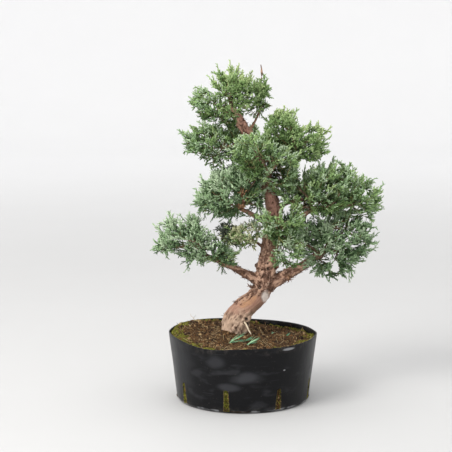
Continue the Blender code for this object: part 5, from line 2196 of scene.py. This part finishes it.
    def girths(self) -> Array:
        """Sizes the twigs by how many twig ends they carry.

        Returns:
            The radius at each node.
        """
        carried = np.zeros(self.count)
        for twig in self.twigs:
            node = twig[-1]
            while node >= 0:
                carried[node] += 1
                node = self.parents[node]
        full = max(carried[0], 2.0)
        power = math.log(self.foot_radius / self.crown.twig_radius) / math.log(full)
        return self.crown.twig_radius * np.maximum(carried, 1) ** min(power, self.crown.pipe_power)

    def add_twigs(self) -> None:
        """Skins the stem and each twig: the thick ones with bark, the thin ones green."""
        girth = self.girths()
        crown = self.crown
        start = self.foot - self.foot_way * 3
        stem = [(*start, self.foot_radius * 0.96), (*self.foot, self.foot_radius * 0.94)]
        stem += [(*self.nodes[0], girth[0] * 1.12), (*(self.nodes[0] + self.foot_way * 1.5), 0.0)]
        crown.woody.add(*tube(np.array(stem), 9))
        for twig in self.twigs:
            thick = girth[twig]
            thick[0] = thick[1]
            path = np.column_stack([self.nodes[twig], thick])
            path[0, :3] -= self.ways[twig[0]] * 0.6
            path[-1, 3] *= 0.8
            path = np.vstack([path, [*(path[-1, :3] + self.ways[twig[-1]] * 0.8), 0.0]])
            if thick[0] > crown.woody_radius:
                crown.woody.add(*tube(path, 7 if thick[0] > crown.stout_radius else 5, closed=False))
            else:
                crown.green.add(*tube(path, 3, closed=False))

    def leaf(self) -> None:
        """Ends each twig in a tuft of sprays, sets others along it, and adds the shoots that stand clear."""
        for number, twig in enumerate(self.twigs):
            end, root = self.nodes[twig[-1]], self.nodes[twig[-2]]
            way = unit(end - root)
            facing = unit(way * 0.7 + self.flow(end) * 1.4)
            self.most = 1.0 + self.crown.ragged * self.rng.uniform(-0.5, 1.0)
            length = self.place_spray(self.patterns[Habit.FINGER], end - way * 1.5, facing)
            self.surround(end, facing, max(length, 8.0))
            self.most = 1.0
            self.line(twig, way, number)
        for root, tip in self.leaders:
            way, length = unit(tip - root), float(np.linalg.norm(tip - root))
            self.set_spray(self.nearest(Habit.FINGER, length), root, way, length, 0.0)
            self.surround(root + way * 2, way, length, True)
        for root, tip in self.danglers:
            way, length = unit(tip - root), float(np.linalg.norm(tip - root))
            for k in range(3):
                turn = self.rng.uniform(-0.5, 0.5) + math.pi * k
                aside = SprayCutter.side_way(way, turn, 0.5 if k else 0.0)
                size = length * (0.7 if k else 1.0)
                self.set_spray(self.nearest(Habit.STRAND, size), root - way * 2.5 * k, aside, size, 0.0)

    def line(self, twig: list[int], way: Array, first_turn: float) -> None:
        """Sets sprays on both sides of a twig, each turned on from the one before.

        Args:
            twig: its nodes.
            way: where it points at its end.
            first_turn: how far the first spray is turned about it.
        """
        crown = self.crown
        side = unit(np.cross(way, UP + 0.01))
        for k in range(2 * min(len(twig) - 1, 3)):
            spot = self.nodes[twig[-1 - (k + 2) // 2]]
            turn = first_turn + k * crown.golden_turn
            lean = side * math.cos(turn) + np.cross(way, side) * math.sin(turn)
            angle = crown.side_angle * self.rng.uniform(0.8, 1.25)
            base = unit(way + self.flow(spot) * 0.9)
            aside = base * math.cos(angle) + lean * math.sin(angle)
            shift = self.ways[twig[-2]] * self.rng.uniform(-1.5, 1.5)
            if self.rng.uniform() < crown.side_chance - crown.side_drop * k:
                habit = self.plan.habits[int(self.rng.integers(len(self.plan.habits)))]
                self.place_spray(self.patterns[habit], spot + shift, unit(aside))

    def surround(self, spot: Array, way: Array, length: float, lead: bool = False) -> None:
        """Sets shorter sprays close about a shoot, which makes a tuft of it.

        Args:
            spot: where the highest of them starts.
            way: where the shoot points.
            length: its length.
            lead: whether the shoot stands out of the mass's space.
        """
        for k in range(self.crown.tuft_sprays):
            turn = self.rng.uniform(0, 1.2) + math.pi * 0.75 * k
            aside = SprayCutter.side_way(way, turn, self.rng.uniform(*self.crown.tuft_angles))
            size = length * self.rng.uniform(0.45, 0.72)
            group = self.nearest(Habit.FAN if k == 3 else Habit.FINGER, size)
            root = spot - way * 1.9 * k
            if lead:
                self.set_spray(group, root, aside, size, 0.0)
            else:
                self.place_spray([group], root, aside)

    def nearest(self, habit: Habit, length: float) -> list[SprayPattern]:
        """The patterns of a habit whose length is nearest."""
        return min(self.patterns[habit], key=lambda group: abs(group[0].length - length))

    def place_spray(self, groups: list[list[SprayPattern]], root: Array, way: Array) -> float:
        """Places the longest spray that keeps to the mass's space.

        Args:
            groups: the patterns of its habit, by length.
            root: where it starts.
            way: where it points.

        Returns:
            Its length, or 0 where there was no room.
        """
        lengths = np.array([group[0].length for group in groups])
        tips = root + way * lengths[:, None] * 0.96
        middles = root + way * lengths[:, None] * 0.55
        fits = self.crown.free(tips, self.name, self.most) & self.crown.free(middles, self.name, self.most)
        if not fits.any():
            return 0.0
        chosen = int(np.flatnonzero(fits).max())
        if chosen > 0 and chosen == len(lengths) - 1 and self.rng.uniform() < self.shorter_chance:
            chosen -= 1
        length = float(lengths[chosen]) * self.rng.uniform(0.92, 1.1)
        self.set_spray(groups[chosen], root, way, length)
        return length

    def set_spray(
        self, group: list[SprayPattern], root: Array, way: Array, length: float, lift: float = 0.14
    ) -> None:
        """Sets a spray in place, rolled at random and curved up a little.

        Args:
            group: the patterns to draw from.
            root: where it starts.
            way: where it points.
            length: its length.
            lift: how far it curves up, as a share of its length.
        """
        pattern = group[int(self.rng.integers(len(group)))]
        roll = self.rng.uniform(0, math.tau)
        level = unit(np.cross(UP, way) + 1e-6)
        across = level * math.cos(roll) + np.cross(way, level) * math.sin(roll)
        basis = np.stack([way, across, np.cross(way, across)])
        points = pattern.points * (length / pattern.length)
        share = np.clip(points[:, 0] / length, 0, 1)
        points = points @ basis + root
        points[:, 2] += lift * length * share**2 * (1 - way[2])
        # Painted shade: the part near the spray's root takes the next darker shade; the tips take the next
        # lighter one
        inner, body, tip = (shade.index for shade in self.shade(root + way * length, root))
        outer = np.where(pattern.tips, tip, body)
        shades = np.where(pattern.near, np.where(pattern.tips, body, inner), outer)
        self.pile.add(points, pattern.faces, shades)

    def shade(self, tip: Array, root: Array) -> tuple[Shade, Shade, Shade]:
        """Picks a spray's shades, lighter further out and higher up: painted light and shade over the
        foliage's own tone.

        Args:
            tip: where it ends.
            root: where it starts.

        Returns:
            The shades near its root, of its body and of its tips.
        """
        for centre, size, body, end in self.crown.patches:
            if np.linalg.norm(root - centre) < size * self.rng.uniform(0.7, 1.15):
                return body, body, end
        # Painted light and shade: sprays high in their lobe and near its skin get lighter shades, those deep
        # inside darker ones
        depth = float(self.crown.depth(tip[None], self.name)[0])
        centre, half = self.crown.nearest_lobe(tip, self.name)
        high = float((tip - centre)[2] / half[2])
        drift = float(rough(root[None], 16.0)[0]) * 0.45
        light = 0.62 * min(depth, 0.95) + 0.24 * min(high, 0.9) + drift + self.rng.normal(0, 0.09)
        ladder = self.plan.tone.value
        place = int(np.clip((light - 0.02) * (len(ladder) - 1), 1, len(ladder) - 2))
        return ladder[place - 1], ladder[place], ladder[place + 1]


def main() -> None:
    """Builds the studio, the pot, the soil, the limbs and the crown in order."""
    logging.basicConfig(level=logging.INFO, format="%(name)s: %(message)s")
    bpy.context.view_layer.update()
    studio = Studio()
    studio.build()
    pot = Pot()
    pot.build(PlasticFinish().make())
    patterns = {habit: SprayCutter(habit).patterns() for habit in Habit}
    SoilBed(pot).build()
    limbs = Limbs()
    limbs.build(BarkFinish().make())
    Crown(limbs, studio).build(Ground.TWIG.value.make(), patterns)


if __name__ == "__main__":
    main()
